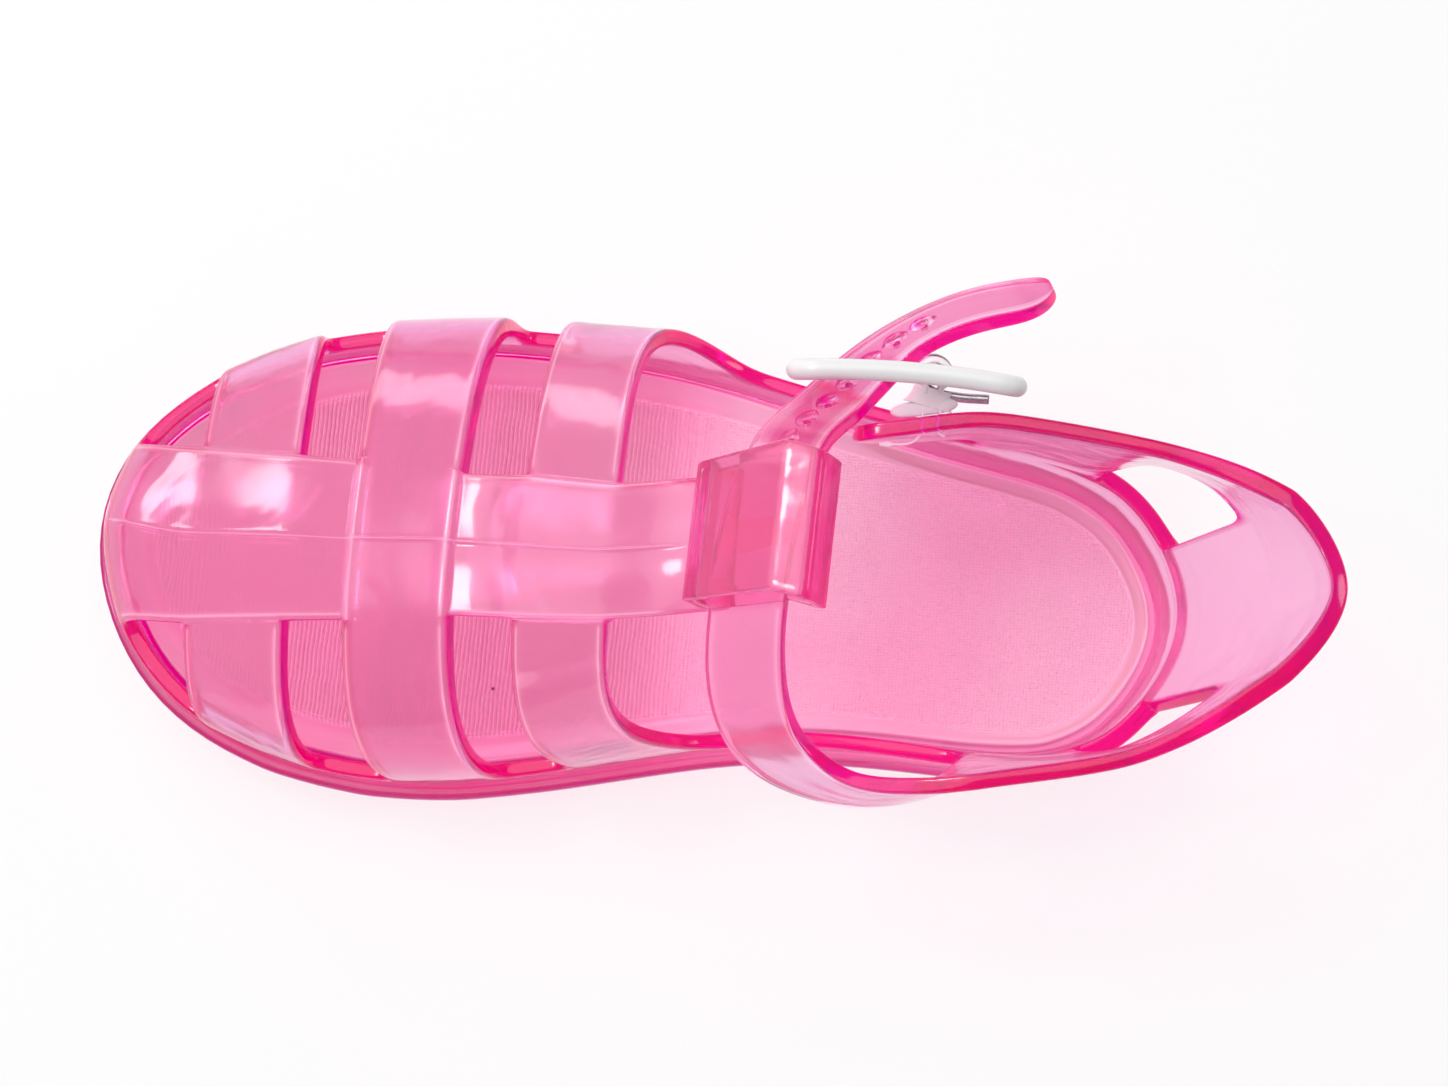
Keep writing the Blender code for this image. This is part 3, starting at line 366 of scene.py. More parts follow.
for side in ("outer", "inner"):
    stations = side_stations(side)
    grid = np.array([wall_points(side, stations, row) for row in WALL_LINES])
    ledge = LEDGE_RAISE * np.interp(grid[-1, :, 0], *LEDGE_X) * (WALL_LINES >= LEDGE_FROM)[:, None]
    add_sheet(grid, turned=side == "outer", inner_lift=ledge)
print("Wall stations a side:", len(stations))


# %% Arches over the foot
def arch(side, crest, rim, angle, sweep):
    """Quarter of a superellipse from the crest to the rim: across = sin^p, down = cos^p, while the rim
    end slides back along the rim with the angle to the power of the sweep."""
    power = 2.0 / ROUND
    turn = angle / (math.pi / 2)
    x = crest[..., 0] + (rim[..., 0] - crest[..., 0]) * turn**sweep
    beside = rim_at_x(side, x)
    v = crest[..., 1] + (beside[..., 1] - crest[..., 1]) * np.sin(angle) ** power
    z = beside[..., 2] + (crest[..., 2] - beside[..., 2]) * np.maximum(np.cos(angle), 0.0) ** power
    return np.stack([x, v, z], axis=-1)


def t_angle(side, crest, width, rim):
    """Angle on the arch at a distance from the crest, in a few steps because the rim end slides."""
    angle = np.full(np.broadcast(width, crest[..., 0]).shape, 0.1)
    for step in range(6):
        x = crest[..., 0] + (rim[..., 0] - crest[..., 0]) * (angle / (math.pi / 2)) ** T_SWEEP
        reach = np.abs(rim_at_x(side, x)[..., 1] - crest[..., 1])
        angle = np.arcsin(np.minimum(width / reach, 1.0) ** (ROUND / 2.0))
    return angle


def section(x, shares):
    """Crest points, half widths and rim points of rows at X with the given rim fractions."""
    found = hermite(CREST[:, 0], CREST[:, 1:], x)
    crest = np.column_stack([x, found[:, 0], found[:, 1]])
    width = {"inner": found[:, 2], "outer": found[:, 3]}
    rims = {side: wall_points(side, shares[side], 1.0) for side in shares}
    return crest, width, rims


# %% [markdown]
# ## The T-strap
# The T-strap runs from the toe to the keeper, with the widest cross strap lying over it. Its rows follow
# the strap edges, so that both share their points. The toe part is a Hermite patch from the rim up to the
# first row. A thin seam of the mould runs down the middle, raised a little and carrying a painted highlight
# line.

# %% Rows of the T-strap
T_FLAT_FROM = 85.0
T_END_ROWS = (79.0, 82.5, 86.0, 89.2, 92.5)
STEP_ROWS = (0.3, 1.4)
TOE_LEAN = 0.45
TOE_FADE = 0.4


def t_stations():
    """Crest X, rim fractions, raise and bead of each row of the T-strap behind its toe part."""
    edges = STRAP_EDGES[:, 0]
    rows = []
    for i in range(5):
        parts = STRAP_LINES[:-1] if i % 2 == 0 else GAP_LINES[:-1]
        for part in parts:
            on_main = i == 2 or (i == 3 and part == 0.0)
            rows.append((edges[i] + (edges[i + 1] - edges[i]) * part, i + part, on_main))
    rows.append((edges[5], 5.0, False))
    rows += [(edges[2] - k * STEP, 2.0, False) for k in STEP_ROWS]
    rows += [(edges[3] + k * STEP, 3.0, False) for k in STEP_ROWS]
    rows += [(x, 5.0, False) for x in T_END_ROWS]
    rows.sort()
    x, place, main = (np.array(column, float) for column in zip(*rows))
    lift = np.where(main > 0, MAIN_RAISE, np.where(x < T_FLAT_FROM, T_RAISE, 0.0))
    lift[(main > 0) & np.isin(place, (2.0, 3.0))] *= EDGE_SHARE
    lines = (main > 0) & np.isin(place, 2.0 + STRAP_LINES[[1, -2]])
    lift[lines] += EDGE_BEAD
    between = (place > 3.0) & (place < 4.0)
    lift -= np.where(between, T_SAG * np.sin(math.pi * (place - 3.0)) ** 2, 0.0)
    spots = np.arange(6)
    shares = {side: np.interp(place, spots, STRAP_SHARES[side]) for side in STRAP_SHARES}
    return x, shares, lift, lines


# %% T-strap sheet
x, shares, lift, main_edges = t_stations()
crest, width, rims = section(x, shares)
halves = []
for side, lines in (("inner", T_LINES[T_LINES < 0]), ("outer", T_LINES[T_LINES >= 0])):
    reach = width[side][:, None] * np.abs(lines)[None]
    angle = t_angle(side, crest[:, None], reach, rims[side][:, None])
    halves.append(arch(side, crest[:, None], rims[side][:, None], angle, T_SWEEP))
back_part = np.concatenate(halves, axis=1)

first = back_part[0]
ahead = unit(back_part[1] - back_part[0])
toe = []
up = []
for side, lines in (("inner", T_LINES[T_LINES < 0]), ("outer", T_LINES[T_LINES >= 0])):
    share = share_at_v(side, T_TOE_V[side], "toe") * np.abs(lines)
    toe.append(wall_points(side, share, 1.0))
    out = edge(side, share, 0.0)[1]
    up.append(np.column_stack([-TOE_LEAN * out, np.ones(len(out))]))
toe = np.vstack(toe)
up = np.vstack(up)
reach = np.linalg.norm(first - toe, axis=1)[:, None]
t = np.linspace(0.0, 1.0, 6)[:-1, None, None]
toe_part = (
    (2 * t**3 - 3 * t**2 + 1) * toe
    + (t**3 - 2 * t**2 + t) * reach * up
    + (3 * t**2 - 2 * t**3) * first
    + (t**3 - t**2) * reach * ahead
)
t_lift = np.concatenate([np.minimum(t[:, 0, 0] / TOE_FADE, 1.0) * T_RAISE, lift])
low_edge = (np.abs(T_LINES) == 1.0)[None] & (t_lift <= T_RAISE)[:, None]
t_lift = t_lift[:, None] + SEAM_RAISE * (T_LINES == 0.0)[None] * (t_lift[:, None] > 0.0)
t_lift = np.where(low_edge, t_lift * EDGE_SHARE, t_lift)
bead = (np.abs(T_LINES) == EDGE_LINE)[None] & (t_lift <= T_RAISE) & (t_lift > 0.0)
t_lift = t_lift + EDGE_BEAD * bead
# Painted highlight lines: on the edge beads of the T-strap, on the edges of the middle strap over it, and
# along the seam.
light = bead | np.concatenate([np.zeros(len(t), bool), main_edges])[:, None]
light = np.where((T_LINES == 0.0)[None] & (t_lift > 0.0), SEAM_HIGHLIGHT, light)
add_sheet(np.concatenate([toe_part, back_part]), t_lift, turned=True, light=light)
print("T-strap rows:", len(t_lift))

# %% [markdown]
# ## The cross straps
# Each strap leaves the T-strap on both sides and comes down to the wall on a superellipse. The middle one
# is raised, because it lies over the T-strap; the others start below its edge.

# %% Cross straps
STRAP_STEPS = (0.0, 0.25, 1.2)
SWELL_GAIN = 3.5
MAIN_FADE = 0.7
# Angle over which the painted highlight lines fade out towards the wall
HIGHLIGHT_FADE = 0.5


def strap_side(first, side):
    """One side of a cross strap: rows across its width, columns from the T-strap down to the rim. The outer
    shoulder swells by gain * sin^4 * cos of the angle."""
    part = STRAP_LINES
    low, high = STRAP_EDGES[first], STRAP_EDGES[first + 1]
    x = low[0] + (high[0] - low[0]) * part
    shares = {s: found[first] + (found[first + 1] - found[first]) * part for s, found in STRAP_SHARES.items()}
    crest, width, rims = section(x, shares)
    marks = [t_angle(side, crest, width[side] + STEP * k, rims[side]) for k in STRAP_STEPS]
    fan = np.linspace(marks[2], np.full(len(part), math.pi / 2), 8, axis=1)
    angle = np.column_stack([marks[0], marks[1], fan])
    column = 3 if side == "outer" else 4
    sweep = (low[column] + (high[column] - low[column]) * part)[:, None]
    grid = arch(side, crest[:, None], rims[side][:, None], angle, sweep)
    if side == "outer":
        swell = (low[5] + (high[5] - low[5]) * part)[:, None]
        grid[..., 1] += swell * SWELL_GAIN * np.sin(angle) ** 4 * np.cos(angle)
    grid[:, 0] = arch(side, crest, rims[side], angle[:, 0], T_SWEEP)
    grid[:, -1] = rims[side]
    if first == 2:
        lift = MAIN_RAISE * np.clip((math.pi / 2 - angle) / MAIN_FADE, 0.0, 1.0)
        lift[[0, -1]] *= EDGE_SHARE
    else:
        lift = np.where(np.arange(angle.shape[1]) == 0, T_RAISE * EDGE_SHARE, 0.0) * np.ones_like(angle)
    # Painted highlight lines along both edges of the strap, fading out towards the wall; the same marks raise
    # the edge beads.
    light = np.zeros_like(angle)
    light[[1, -2], 2:] = np.clip((math.pi / 2 - angle[[1, -2], 2:]) / HIGHLIGHT_FADE, 0.0, 1.0)
    return grid, lift + EDGE_BEAD * light, light


for first in (0, 2, 4):
    for side in ("outer", "inner"):
        grid, lift, light = strap_side(first, side)
        add_sheet(grid, lift, turned=side == "outer", light=light)
print("Sheets so far:", len(sheets))

# %% [markdown]
# ## The ribbon
# Heel band, ankle strap, tail and buckle tab are one long ribbon. It starts at the tab beside the buckle,
# runs round the heel and over the instep through the keeper, and ends in the free tail. A table gives its
# lower and upper edge; the rows between come from Hermite curves along its length.

# %% Table of the ribbon
# Lower edge X V Z, upper edge X V Z, cells to the next row (below 0: lines turned round), place
RIBBON = [
    (106.6, 19.0, 45.6, 106.6, 18.6, 47.4, 1, "tab"),
    (107.2, 19.3, 42.6, 107.2, 18.3, 49.4, 1, "tab"),
    (109.0, 19.8, 41.0, 109.0, 18.6, 50.2, 2, "tab"),
    (113.5, 20.7, 39.6, 113.3, 19.4, 50.8, 1, "tab"),
    (117.5, 21.7, 38.0, 117.0, 20.2, 51.4, 1, "tab"),
    (121.0, 23.1, 34.5, 120.0, 20.7, 51.8, 1, "tab"),
    (123.6, 24.4, 28.6, 122.5, 21.0, 52.0, 1, "tab"),
    (125.5, 25.0, 21.0, 124.8, 21.1, 52.2, 4, "outer quarter"),
    (141.0, 23.0, 22.0, 142.8, 19.3, 54.0, 1, "outer hole"),
    (146.4, 23.3, 29.6, 147.0, 18.7, 54.0, 1, "outer hole"),
    (150.4, 21.6, 34.8, 151.4, 17.9, 54.0, 1, "outer hole"),
    (154.4, 19.7, 37.6, 155.6, 17.0, 54.0, 1, "outer hole"),
    (158.0, 17.2, 39.0, 159.8, 15.8, 54.0, 1, "outer hole"),
    (161.4, 13.2, 39.4, 164.2, 14.0, 54.0, 4, "stay"),
    (165.2, 1.0, 40.0, 172.4, 1.4, 54.0, -4, "stay"),
    (160.4, -11.8, 39.4, 165.2, -12.0, 54.0, 1, "inner hole"),
    (156.4, -15.6, 38.8, 160.7, -15.7, 54.0, 1, "inner hole"),
    (152.6, -18.4, 37.0, 156.9, -18.4, 54.0, 1, "inner hole"),
    (148.8, -20.6, 33.6, 153.2, -20.8, 54.0, 1, "inner hole"),
    (145.0, -21.8, 28.5, 149.8, -22.6, 53.5, 1, "inner hole"),
    (141.0, -22.0, 22.0, 146.5, -24.2, 53.0, 4, "inner quarter"),
    (126.5, -22.5, 21.0, 128.4, -28.6, 50.3, 1, "strap"),
    (125.4, -24.6, 27.2, 126.2, -29.1, 50.0, 1, "strap"),
    (123.4, -27.2, 32.4, 124.2, -29.4, 49.7, 1, "strap"),
    (120.0, -29.4, 35.6, 121.8, -29.8, 49.2, 1, "strap"),
    (115.0, -31.0, 37.0, 118.0, -30.1, 48.5, 2, "strap"),
    (106.5, -31.2, 37.2, 110.8, -30.0, 47.6, 2, "strap"),
    (98.8, -29.5, 39.6, 105.5, -27.5, 48.0, 2, "strap"),
    (93.3, -26.0, 43.6, 101.7, -23.7, 50.2, 2, "strap"),
    (89.9, -19.4, 49.4, 99.7, -17.9, 53.9, 2, "strap"),
    (89.2, -10.4, 55.2, 99.0, -9.6, 59.1, 3, "strap"),
    (91.4, 9.0, 56.6, 101.2, 9.6, 60.6, 2, "strap"),
    (93.6, 15.4, 54.6, 102.9, 14.6, 58.6, 2, "strap"),
    (98.6, 21.8, 50.4, 106.6, 19.2, 54.8, 2, "strap"),
    (103.8, 28.2, 47.8, 109.8, 24.0, 52.6, 2, "strap"),
    (110.6, 34.2, 46.2, 113.8, 29.2, 52.3, 2, "strap"),
    (120.6, 39.6, 46.2, 122.8, 33.9, 52.4, 1, "strap"),
    (125.6, 40.8, 47.0, 128.0, 35.4, 51.6, 1, "strap"),
    (128.8, 41.2, 48.2, 130.6, 37.4, 50.9, 1, "strap"),
    (130.4, 40.8, 49.2, 131.2, 39.2, 50.2, 0, "end"),
]
BEAD_RAISE = 0.55
BEAD_FROM = 0.75
BEAD_ROWS = [9, 12, 16, 19]
MOUTH_ROW = 31
# Strength of the painted highlight lines along the ankle strap and tail, where they start and how far they
# take to fade in
RIBBON_HIGHLIGHT = 0.9
STRAP_HIGHLIGHT_FROM = 14.0
STRAP_HIGHLIGHT_RUN = 8.0

# %% Edges of the ribbon
ribbon_low = np.array([row[0:3] for row in RIBBON], float)
ribbon_top = np.array([row[3:6] for row in RIBBON], float)
ribbon_place = np.array([row[7] for row in RIBBON])
QUARTER_ENDS = {
    "outer": (share_at_x("outer", QUARTER_FRONT_X["outer"]), share_at_x("outer", HOLE_FRONT_X["outer"])),
    "inner": (share_at_x("inner", HOLE_FRONT_X["inner"]), share_at_x("inner", QUARTER_FRONT_X["inner"])),
}
for side, ends in QUARTER_ENDS.items():
    start = int(np.flatnonzero(ribbon_place == side + " quarter")[0])
    ribbon_low[start : start + 2] = wall_points(side, np.array(ends), 1.0)
ribbon_run = np.linalg.norm(np.diff((ribbon_low + ribbon_top) / 2, axis=0), axis=1)
ribbon_run = np.concatenate([[0.0], np.cumsum(ribbon_run)])


def ribbon_parts(cells):
    """Even fractions of the stations of one stretch."""
    return np.linspace(0.0, 1.0, max(abs(cells), 1) + 1)[:-1]


stretch = []
part = []
for i, row in enumerate(RIBBON):
    if row[7] == "stay":
        lines = STAY_LINES[:-1] if row[6] > 0 else 1.0 - STAY_LINES[:0:-1]
    else:
        lines = ribbon_parts(row[6])
    stretch += [i] * len(lines)
    part += list(lines)
stretch = np.array(stretch)
part = np.array(part)
run_next = np.concatenate([ribbon_run[1:], ribbon_run[-1:]])
wanted = ribbon_run[stretch] + (run_next[stretch] - ribbon_run[stretch]) * part
lows = hermite(ribbon_run, ribbon_low, wanted)
tops = hermite(ribbon_run, ribbon_top, wanted)
for side, (near, far) in QUARTER_ENDS.items():
    here = ribbon_place[stretch] == side + " quarter"
    lows[here] = wall_points(side, near + (far - near) * part[here], 1.0)

# %% Ribbon and back stay
share = RIBBON_LINES[:, None, None]
ribbon_grid = lows[None] * (1 - share) + tops[None] * share
round_heel = np.interp(wanted, ribbon_run[BEAD_ROWS], [0.0, 1.0, 1.0, 0.0])
bead = BEAD_RAISE * (RIBBON_LINES >= BEAD_FROM)[:, None] * round_heel[None]
# Painted highlight lines along both edges of the ankle strap and the tail, fading in past the start of the
# strap.
strap_start = ribbon_run[np.flatnonzero(ribbon_place == "inner quarter")[0] + 1] + STRAP_HIGHLIGHT_FROM
light = np.zeros(ribbon_grid.shape[:2])
light[[1, -2]] = np.clip((wanted - strap_start) / STRAP_HIGHLIGHT_RUN, 0.0, RIBBON_HIGHLIGHT)
add_sheet(ribbon_grid, turned=True, inner_lift=bead, light=light)

stay = np.flatnonzero(ribbon_place[stretch] == "stay")
band = lows[stay[0] : stay[-1] + 2]
foot = []
for side, lines in (("outer", STAY_LINES), ("inner", STAY_LINES[-2::-1])):
    begin = share_at_v(side, STAY_V[side], "heel")
    foot.append(wall_points(side, begin + (1.0 - begin) * lines, 1.0))
foot = np.vstack(foot)
rise = STAY_RISE[:, None, None]
add_sheet(foot[None] * (1 - rise) + band[None] * rise, turned=True)
print("Ribbon stations:", len(wanted), "over", round(float(ribbon_run[-1])), "mm")

# %% [markdown]
# ## From sheets to one moulding
# Points that the sheets share are welded by rounding them on four shifted grids. Each point then moves
# out along its normal by its raise and in by the wall, and the free borders are closed with a line halfway
# between both faces, so that the subdivision surface gives every edge a small even radius. The borders
# are marked as rim, where the clear vinyl looks deepest, and the painted highlight lines on the beads as
# negative rim.


# %% Weld the sheets
def weld(points, tolerance=0.02):
    """Number of each point's group: points in one cell of any of four shifted grids belong together."""
    label = np.arange(len(points))
    for shift in (0.0, 0.25, 0.5, 0.75, 0.0, 0.25):
        cells = np.floor(points / tolerance + shift).astype(np.int64)
        cell = np.unique(cells, axis=0, return_inverse=True)[1].ravel()
        lowest = np.full(cell.max() + 1, len(points))
        np.minimum.at(lowest, cell, label)
        label = lowest[cell]
    return np.unique(label, return_inverse=True)


def merged(sheets):
    """Welded points and quads, the highest raise, inner raise and light at each point, and which points
    stand on the sole: the first row of the first two sheets, which are the wall."""
    points = np.vstack([sheet[0].reshape(-1, 3) for sheet in sheets])
    values = np.column_stack([np.concatenate([sheet[k].ravel() for sheet in sheets]) for k in (1, 2, 3)])
    quads = []
    starts = [0]
    for grid, *_, turned in sheets:
        found = grid_quads(*grid.shape[:2], starts[-1])
        quads.append(found[:, ::-1] if turned else found)
        starts.append(starts[-1] + grid.shape[0] * grid.shape[1])
    kept, group = weld(points)
    highest = np.zeros((len(kept), 3))
    np.maximum.at(highest, group, values)
    foot = np.zeros(len(kept), bool)
    for start, (grid, *_) in zip(starts[:2], sheets):
        foot[group[start : start + grid.shape[1]]] = True
    return points[kept], group[np.vstack(quads)], highest, foot


# %% Thicken them
FOOT_DEEP = ([60.0, 110.0], [1.0, 0.5])
CORNER_NEAR = 0.05


def point_normals(place, quads, foot):
    """Sum of the quads' normals at each point, each weighed by the root of its area, level at the foot."""
    corner = place[quads]
    area = np.cross(corner[:, 2] - corner[:, 0], corner[:, 3] - corner[:, 1])
    area /= np.sqrt(np.maximum(np.linalg.norm(area, axis=1), 1e-9))[:, None]
    normal = np.zeros_like(place)
    np.add.at(normal, quads.ravel(), np.repeat(area, 4, axis=0))
    normal[foot, 2] = 0.0
    return unit(normal)


def thicken(sheets, wall, corners):
    """Closed cage: outer = point + raise * normal, inner = point - (wall + inner raise) * normal, with a row
    halfway and border quads between them; points at the given corners are firm."""
    place, quads, highest, foot = merged(sheets)
    lift, inner, light = highest.T
    normal = point_normals(place, quads, foot)
    outer_face = place + normal * lift[:, None]
    inner_face = place - normal * (wall + inner)[:, None]
    layers = [outer_face, outer_face + (inner_face - outer_face) * 0.5, inner_face]
    count = len(place)
    begin = quads.ravel()
    end = np.roll(quads, -1, axis=1).ravel()
    free = ~np.isin(begin * count + end, end * count + begin)
    faces = [quads, quads[:, ::-1] + count * (len(layers) - 1)]
    for k in range(len(layers) - 1):
        a = begin[free] + count * k
        b = end[free] + count * k
        faces.append(np.stack([b, a, a + count, b + count], axis=1))
    used, faces = np.unique(np.vstack(faces), return_inverse=True)
    firm = (np.linalg.norm(place[:, None] - corners[None], axis=2) < CORNER_NEAR).any(axis=1)
    deep = np.where(foot, np.interp(place[:, 0], *FOOT_DEEP), 1.0)
    rim = np.tile(np.isin(np.arange(count), begin[free]) * deep, (len(layers), 1))
    # The painted highlight lines go in as negative rim on the outer face.
    rim[0] -= light
    marks = np.tile(firm, len(layers))[used], rim.ravel()[used]
    return np.vstack(layers)[used], faces.reshape(-1, 4), *marks


# %% Cage
def hole_ends(side):
    """Rim points where the hole beside the stay begins and ends."""
    shares = [share_at_x(side, HOLE_FRONT_X[side]), share_at_v(side, STAY_V[side], "heel")]
    return wall_points(side, np.array(shares), 1.0)


hole_corners = np.vstack([hole_ends(side) for side in SIDES])
cage_points, cage_faces, firm, rim = thicken(sheets, WALL, hole_corners)
strap_cage = rounded(piece("strap_cage", cage_points, cage_faces, firm, rim), 2)
print("Cage quads:", len(cage_faces), "firm corner points:", int(firm.sum()))

# %% [markdown]
# ## The keeper
# The keeper is a flat sleeve moulded on the end of the T-strap; the ankle strap slides through it. Its
# wall is a ring section: one closed loop carried out along the sleeve, over the rounded end, and back
# inside. That makes a torus-like grid with no caps, which is then united with the cage.

# %% Keeper sleeve
KEEPER_CENTRE = np.array([95.4, 0.8, 58.6])
KEEPER_TILT = math.radians(22.0)
KEEPER_SKEW = 0.02
KEEPER_HALF = 8.8
KEEPER_LOW = -3.8
KEEPER_HIGH = 3.9
KEEPER_RIDGE = 0.9
KEEPER_WALL = 1.7
KEEPER_FLOOR = 2.3
KEEPER_ROOF = 1.6
KEEPER_CORNERS = {"outer": 1.1, "inner": 0.5}
KEEPER_ROWS = 14
KEEPER_LIP = 0.02
# Depth in the sleeve, share of the ridge there
KEEPER_SWELL = np.array([(0.0, 0.72), (3.0, 0.96), (3.6, 1.0), (4.2, 0.95)])
# Depth in the sleeve, inner end V, outer end V
KEEPER_ENDS = np.array([(-8.8, -9.2, 9.2), (3.6, -7.6, 12.2), (8.8, -8.8, 11.0)])
keeper_back = np.array([math.cos(KEEPER_TILT), math.sin(KEEPER_TILT)])


def keeper_loop(half, low, high, ridge, corner, count=24):
    """Depth and height round the sleeve: rounded box whose roof rises to a ridge two thirds back."""
    arc = np.linspace(0.0, math.pi / 2, 6)
    line = np.linspace(0.0, 1.0, count)[1:-1]
    front, back = -half + corner, half - corner
    floor = np.column_stack([front + (back - front) * line, np.full(len(line), low)])
    roof = np.column_stack([back + (front - back) * line, np.full(len(line), high)])
    wall = np.linspace(low + corner, high - corner, 7)[1:-1]
    rear = np.column_stack([np.full(len(wall), half), wall])
    fore = np.column_stack([np.full(len(wall), -half), wall[::-1]])
    bends = []
    centres = [(back, low + corner), (back, high - corner), (front, high - corner), (front, low + corner)]
    for (depth, height), start in zip(centres, (-90, 0, 90, 180)):
        turn = math.radians(start) + arc
        bends.append(np.column_stack([depth + corner * np.cos(turn), height + corner * np.sin(turn)]))
    loop = np.vstack([floor, bends[0], rear, bends[1], roof, bends[2], fore, bends[3]])
    shape = np.vstack([[(-half, 0.0)], KEEPER_SWELL, [(half, 0.0)]])
    swell = np.interp(loop[:, 0], shape[:, 0], shape[:, 1])
    loop[:, 1] += ridge * swell * (loop[:, 1] > high - corner)
    return loop


def keeper_sleeve():
    """Point = loop between outer and inner by depth share, moved along V between the two ends."""
    outer = keeper_loop(KEEPER_HALF, KEEPER_LOW, KEEPER_HIGH, KEEPER_RIDGE, KEEPER_CORNERS["outer"])
    inner_size = KEEPER_HALF - KEEPER_WALL, KEEPER_LOW + KEEPER_FLOOR, KEEPER_HIGH - KEEPER_ROOF
    inner = keeper_loop(*inner_size, KEEPER_RIDGE, KEEPER_CORNERS["inner"])
    turn = np.linspace(0.0, math.pi, 9)[1:-1]
    lip = KEEPER_LIP * np.sin(turn)
    across = 0.5 - 0.5 * np.cos(turn)
    low, high = KEEPER_LIP, 1 - KEEPER_LIP
    out, home = np.linspace(low, high, KEEPER_ROWS), np.linspace(high, low, KEEPER_ROWS)
    along = np.concatenate([out, high + lip, home, low - lip])
    depth_share = np.concatenate([np.zeros(KEEPER_ROWS), across, np.ones(KEEPER_ROWS), across[::-1]])
    loop = outer[None] * (1 - depth_share[:, None, None]) + inner[None] * depth_share[:, None, None]
    start = np.interp(loop[..., 0], KEEPER_ENDS[:, 0], KEEPER_ENDS[:, 1])
    stop = np.interp(loop[..., 0], KEEPER_ENDS[:, 0], KEEPER_ENDS[:, 2])
    v = start + (stop - start) * along[:, None]
    x = KEEPER_CENTRE[0] + keeper_back[0] * loop[..., 0] - keeper_back[1] * loop[..., 1] + KEEPER_SKEW * v
    z = KEEPER_CENTRE[2] + keeper_back[1] * loop[..., 0] + keeper_back[0] * loop[..., 1]
    grid = np.stack([x, v, z], axis=-1)
    return grid.reshape(-1, 3), grid_quads(*grid.shape[:2], 0, True, True)


keeper = piece("keeper", *keeper_sleeve())
combine(strap_cage, keeper, "UNION")
print("With the keeper:", len(strap_cage.data.vertices), "points")

# %% [markdown]
# ## Buckle sizes
# The buckle stands in the plane of the strap at the outer ankle. Its axes and the place of its bar are
# needed here already, because two slots in the tab let the legs of its clip through.

# %% Buckle axes and slots
FRAME_CENTRE = np.array([112.5, 25.5, 48.3])
FRAME_LEAN = math.radians(14.5)
FRAME_TURN = 0.013
FRAME_LONG = 29.2
FRAME_HIGH = 15.4
FRAME_BOW = 0.8
FRAME_WIRE = 1.4
FRAME_CORNER = 3.0
BAR_PLACE = 3.8
BAR_WIRE = 1.1
BAR_SINK = 0.3
CLIP_STRIP = 0.9
CLIP_HIGH = 4.6
CLIP_SHIFT = -0.8
CLIP_LEGS = 1.15
CLIP_HOOKS = (6.6, 2.1)
CLIP_SHOULDER = (-5.4, 3.4)
CLIP_SEAT = -4.4
CLIP_BODY = (2.5, 3.4)
CLIP_DEPTH = -8.5
CLIP_FOLD_HIGH = 1.5
CLIP_SLANT = 0.21
PRONG_WIRE = 0.65
PRONG_SHIFT = -4.3
SLOT_DEPTHS = (-11.0, -3.4)

frame_long = unit(np.array([1.0, FRAME_TURN, 0.0]))
frame_high = np.array([0.0, -math.sin(FRAME_LEAN), math.cos(FRAME_LEAN)])
frame_out = -np.cross(frame_long, frame_high)


def bow(place):
    """Outward bow of the frame at a place along it: bow * (1 - (2 place / length)^2)."""
    return FRAME_BOW * (1 - (2 * place / FRAME_LONG) ** 2)


bar_middle = FRAME_CENTRE + frame_long * BAR_PLACE + frame_out * bow(BAR_PLACE)
clip_middle = bar_middle + frame_high * CLIP_SHIFT


def clip_slots():
    """Two boxes, a little wider than the clip's legs, through the tab."""
    half = CLIP_STRIP / 2 + GAP
    tall = CLIP_HIGH / 2 + GAP
    corner = np.array([(-half, -tall), (half, -tall), (half, tall), (-half, tall)])
    points = []
    for place in (-CLIP_LEGS, CLIP_LEGS):
        ends = clip_middle + (place + corner[:, :1]) * frame_long + corner[:, 1:] * frame_high
        points += [ends + depth * frame_out for depth in SLOT_DEPTHS]
    box = [(0, 3, 2, 1), (4, 5, 6, 7), (0, 1, 5, 4), (1, 2, 6, 5), (2, 3, 7, 6), (3, 0, 4, 7)]
    faces = np.vstack([np.array(box), np.array(box) + 8])
    return np.vstack(points), faces


combine(strap_cage, piece("slots", *clip_slots()), "DIFFERENCE")
print("Bar of the buckle at", bar_middle.round(1).tolist(), "mm")

# %% [markdown]
# ## Holes of the tail
# The tail carries a chain of leaf-shaped hollows with a pinhole in each. A hollow is the space of a
# spindle sunk in the outer face: its width falls with a power of the cosine along its length. Spindles and
# pins are cut out of the cage, and their faces are turned outwards first, because a Boolean needs that.

# %% Leaf hollows and pinholes
LEAF_FIRST = 5.0
LEAF_PITCH = 4.5
LEAF_COUNT = 7
LEAF_LONG = 2.15
LEAF_WIDE = 1.5
LEAF_DEEP = 0.75
LEAF_POINT = 1.6
LEAF_END = 88.0
PINHOLE = 0.55
PIN_REACH = np.array([-4.0, 2.0])
OUT_AND_UP = [0.0, 0.3, 1.0]
SHARP_ANGLE = math.radians(42.0)


def strap_frame(run, step=0.5):
    """Middle, direction, side and outward normal of the ribbon at lengths along it."""
    low = hermite(ribbon_run, ribbon_low, run)
    top = hermite(ribbon_run, ribbon_top, run)
    ahead = hermite(ribbon_run, (ribbon_low + ribbon_top) / 2, run + step)
    behind = hermite(ribbon_run, (ribbon_low + ribbon_top) / 2, run - step)
    along = unit(ahead - behind)
    across = unit(top - low)
    normal = unit(np.cross(along, across))
    return (low + top) / 2, along, unit(np.cross(normal, along)), normal


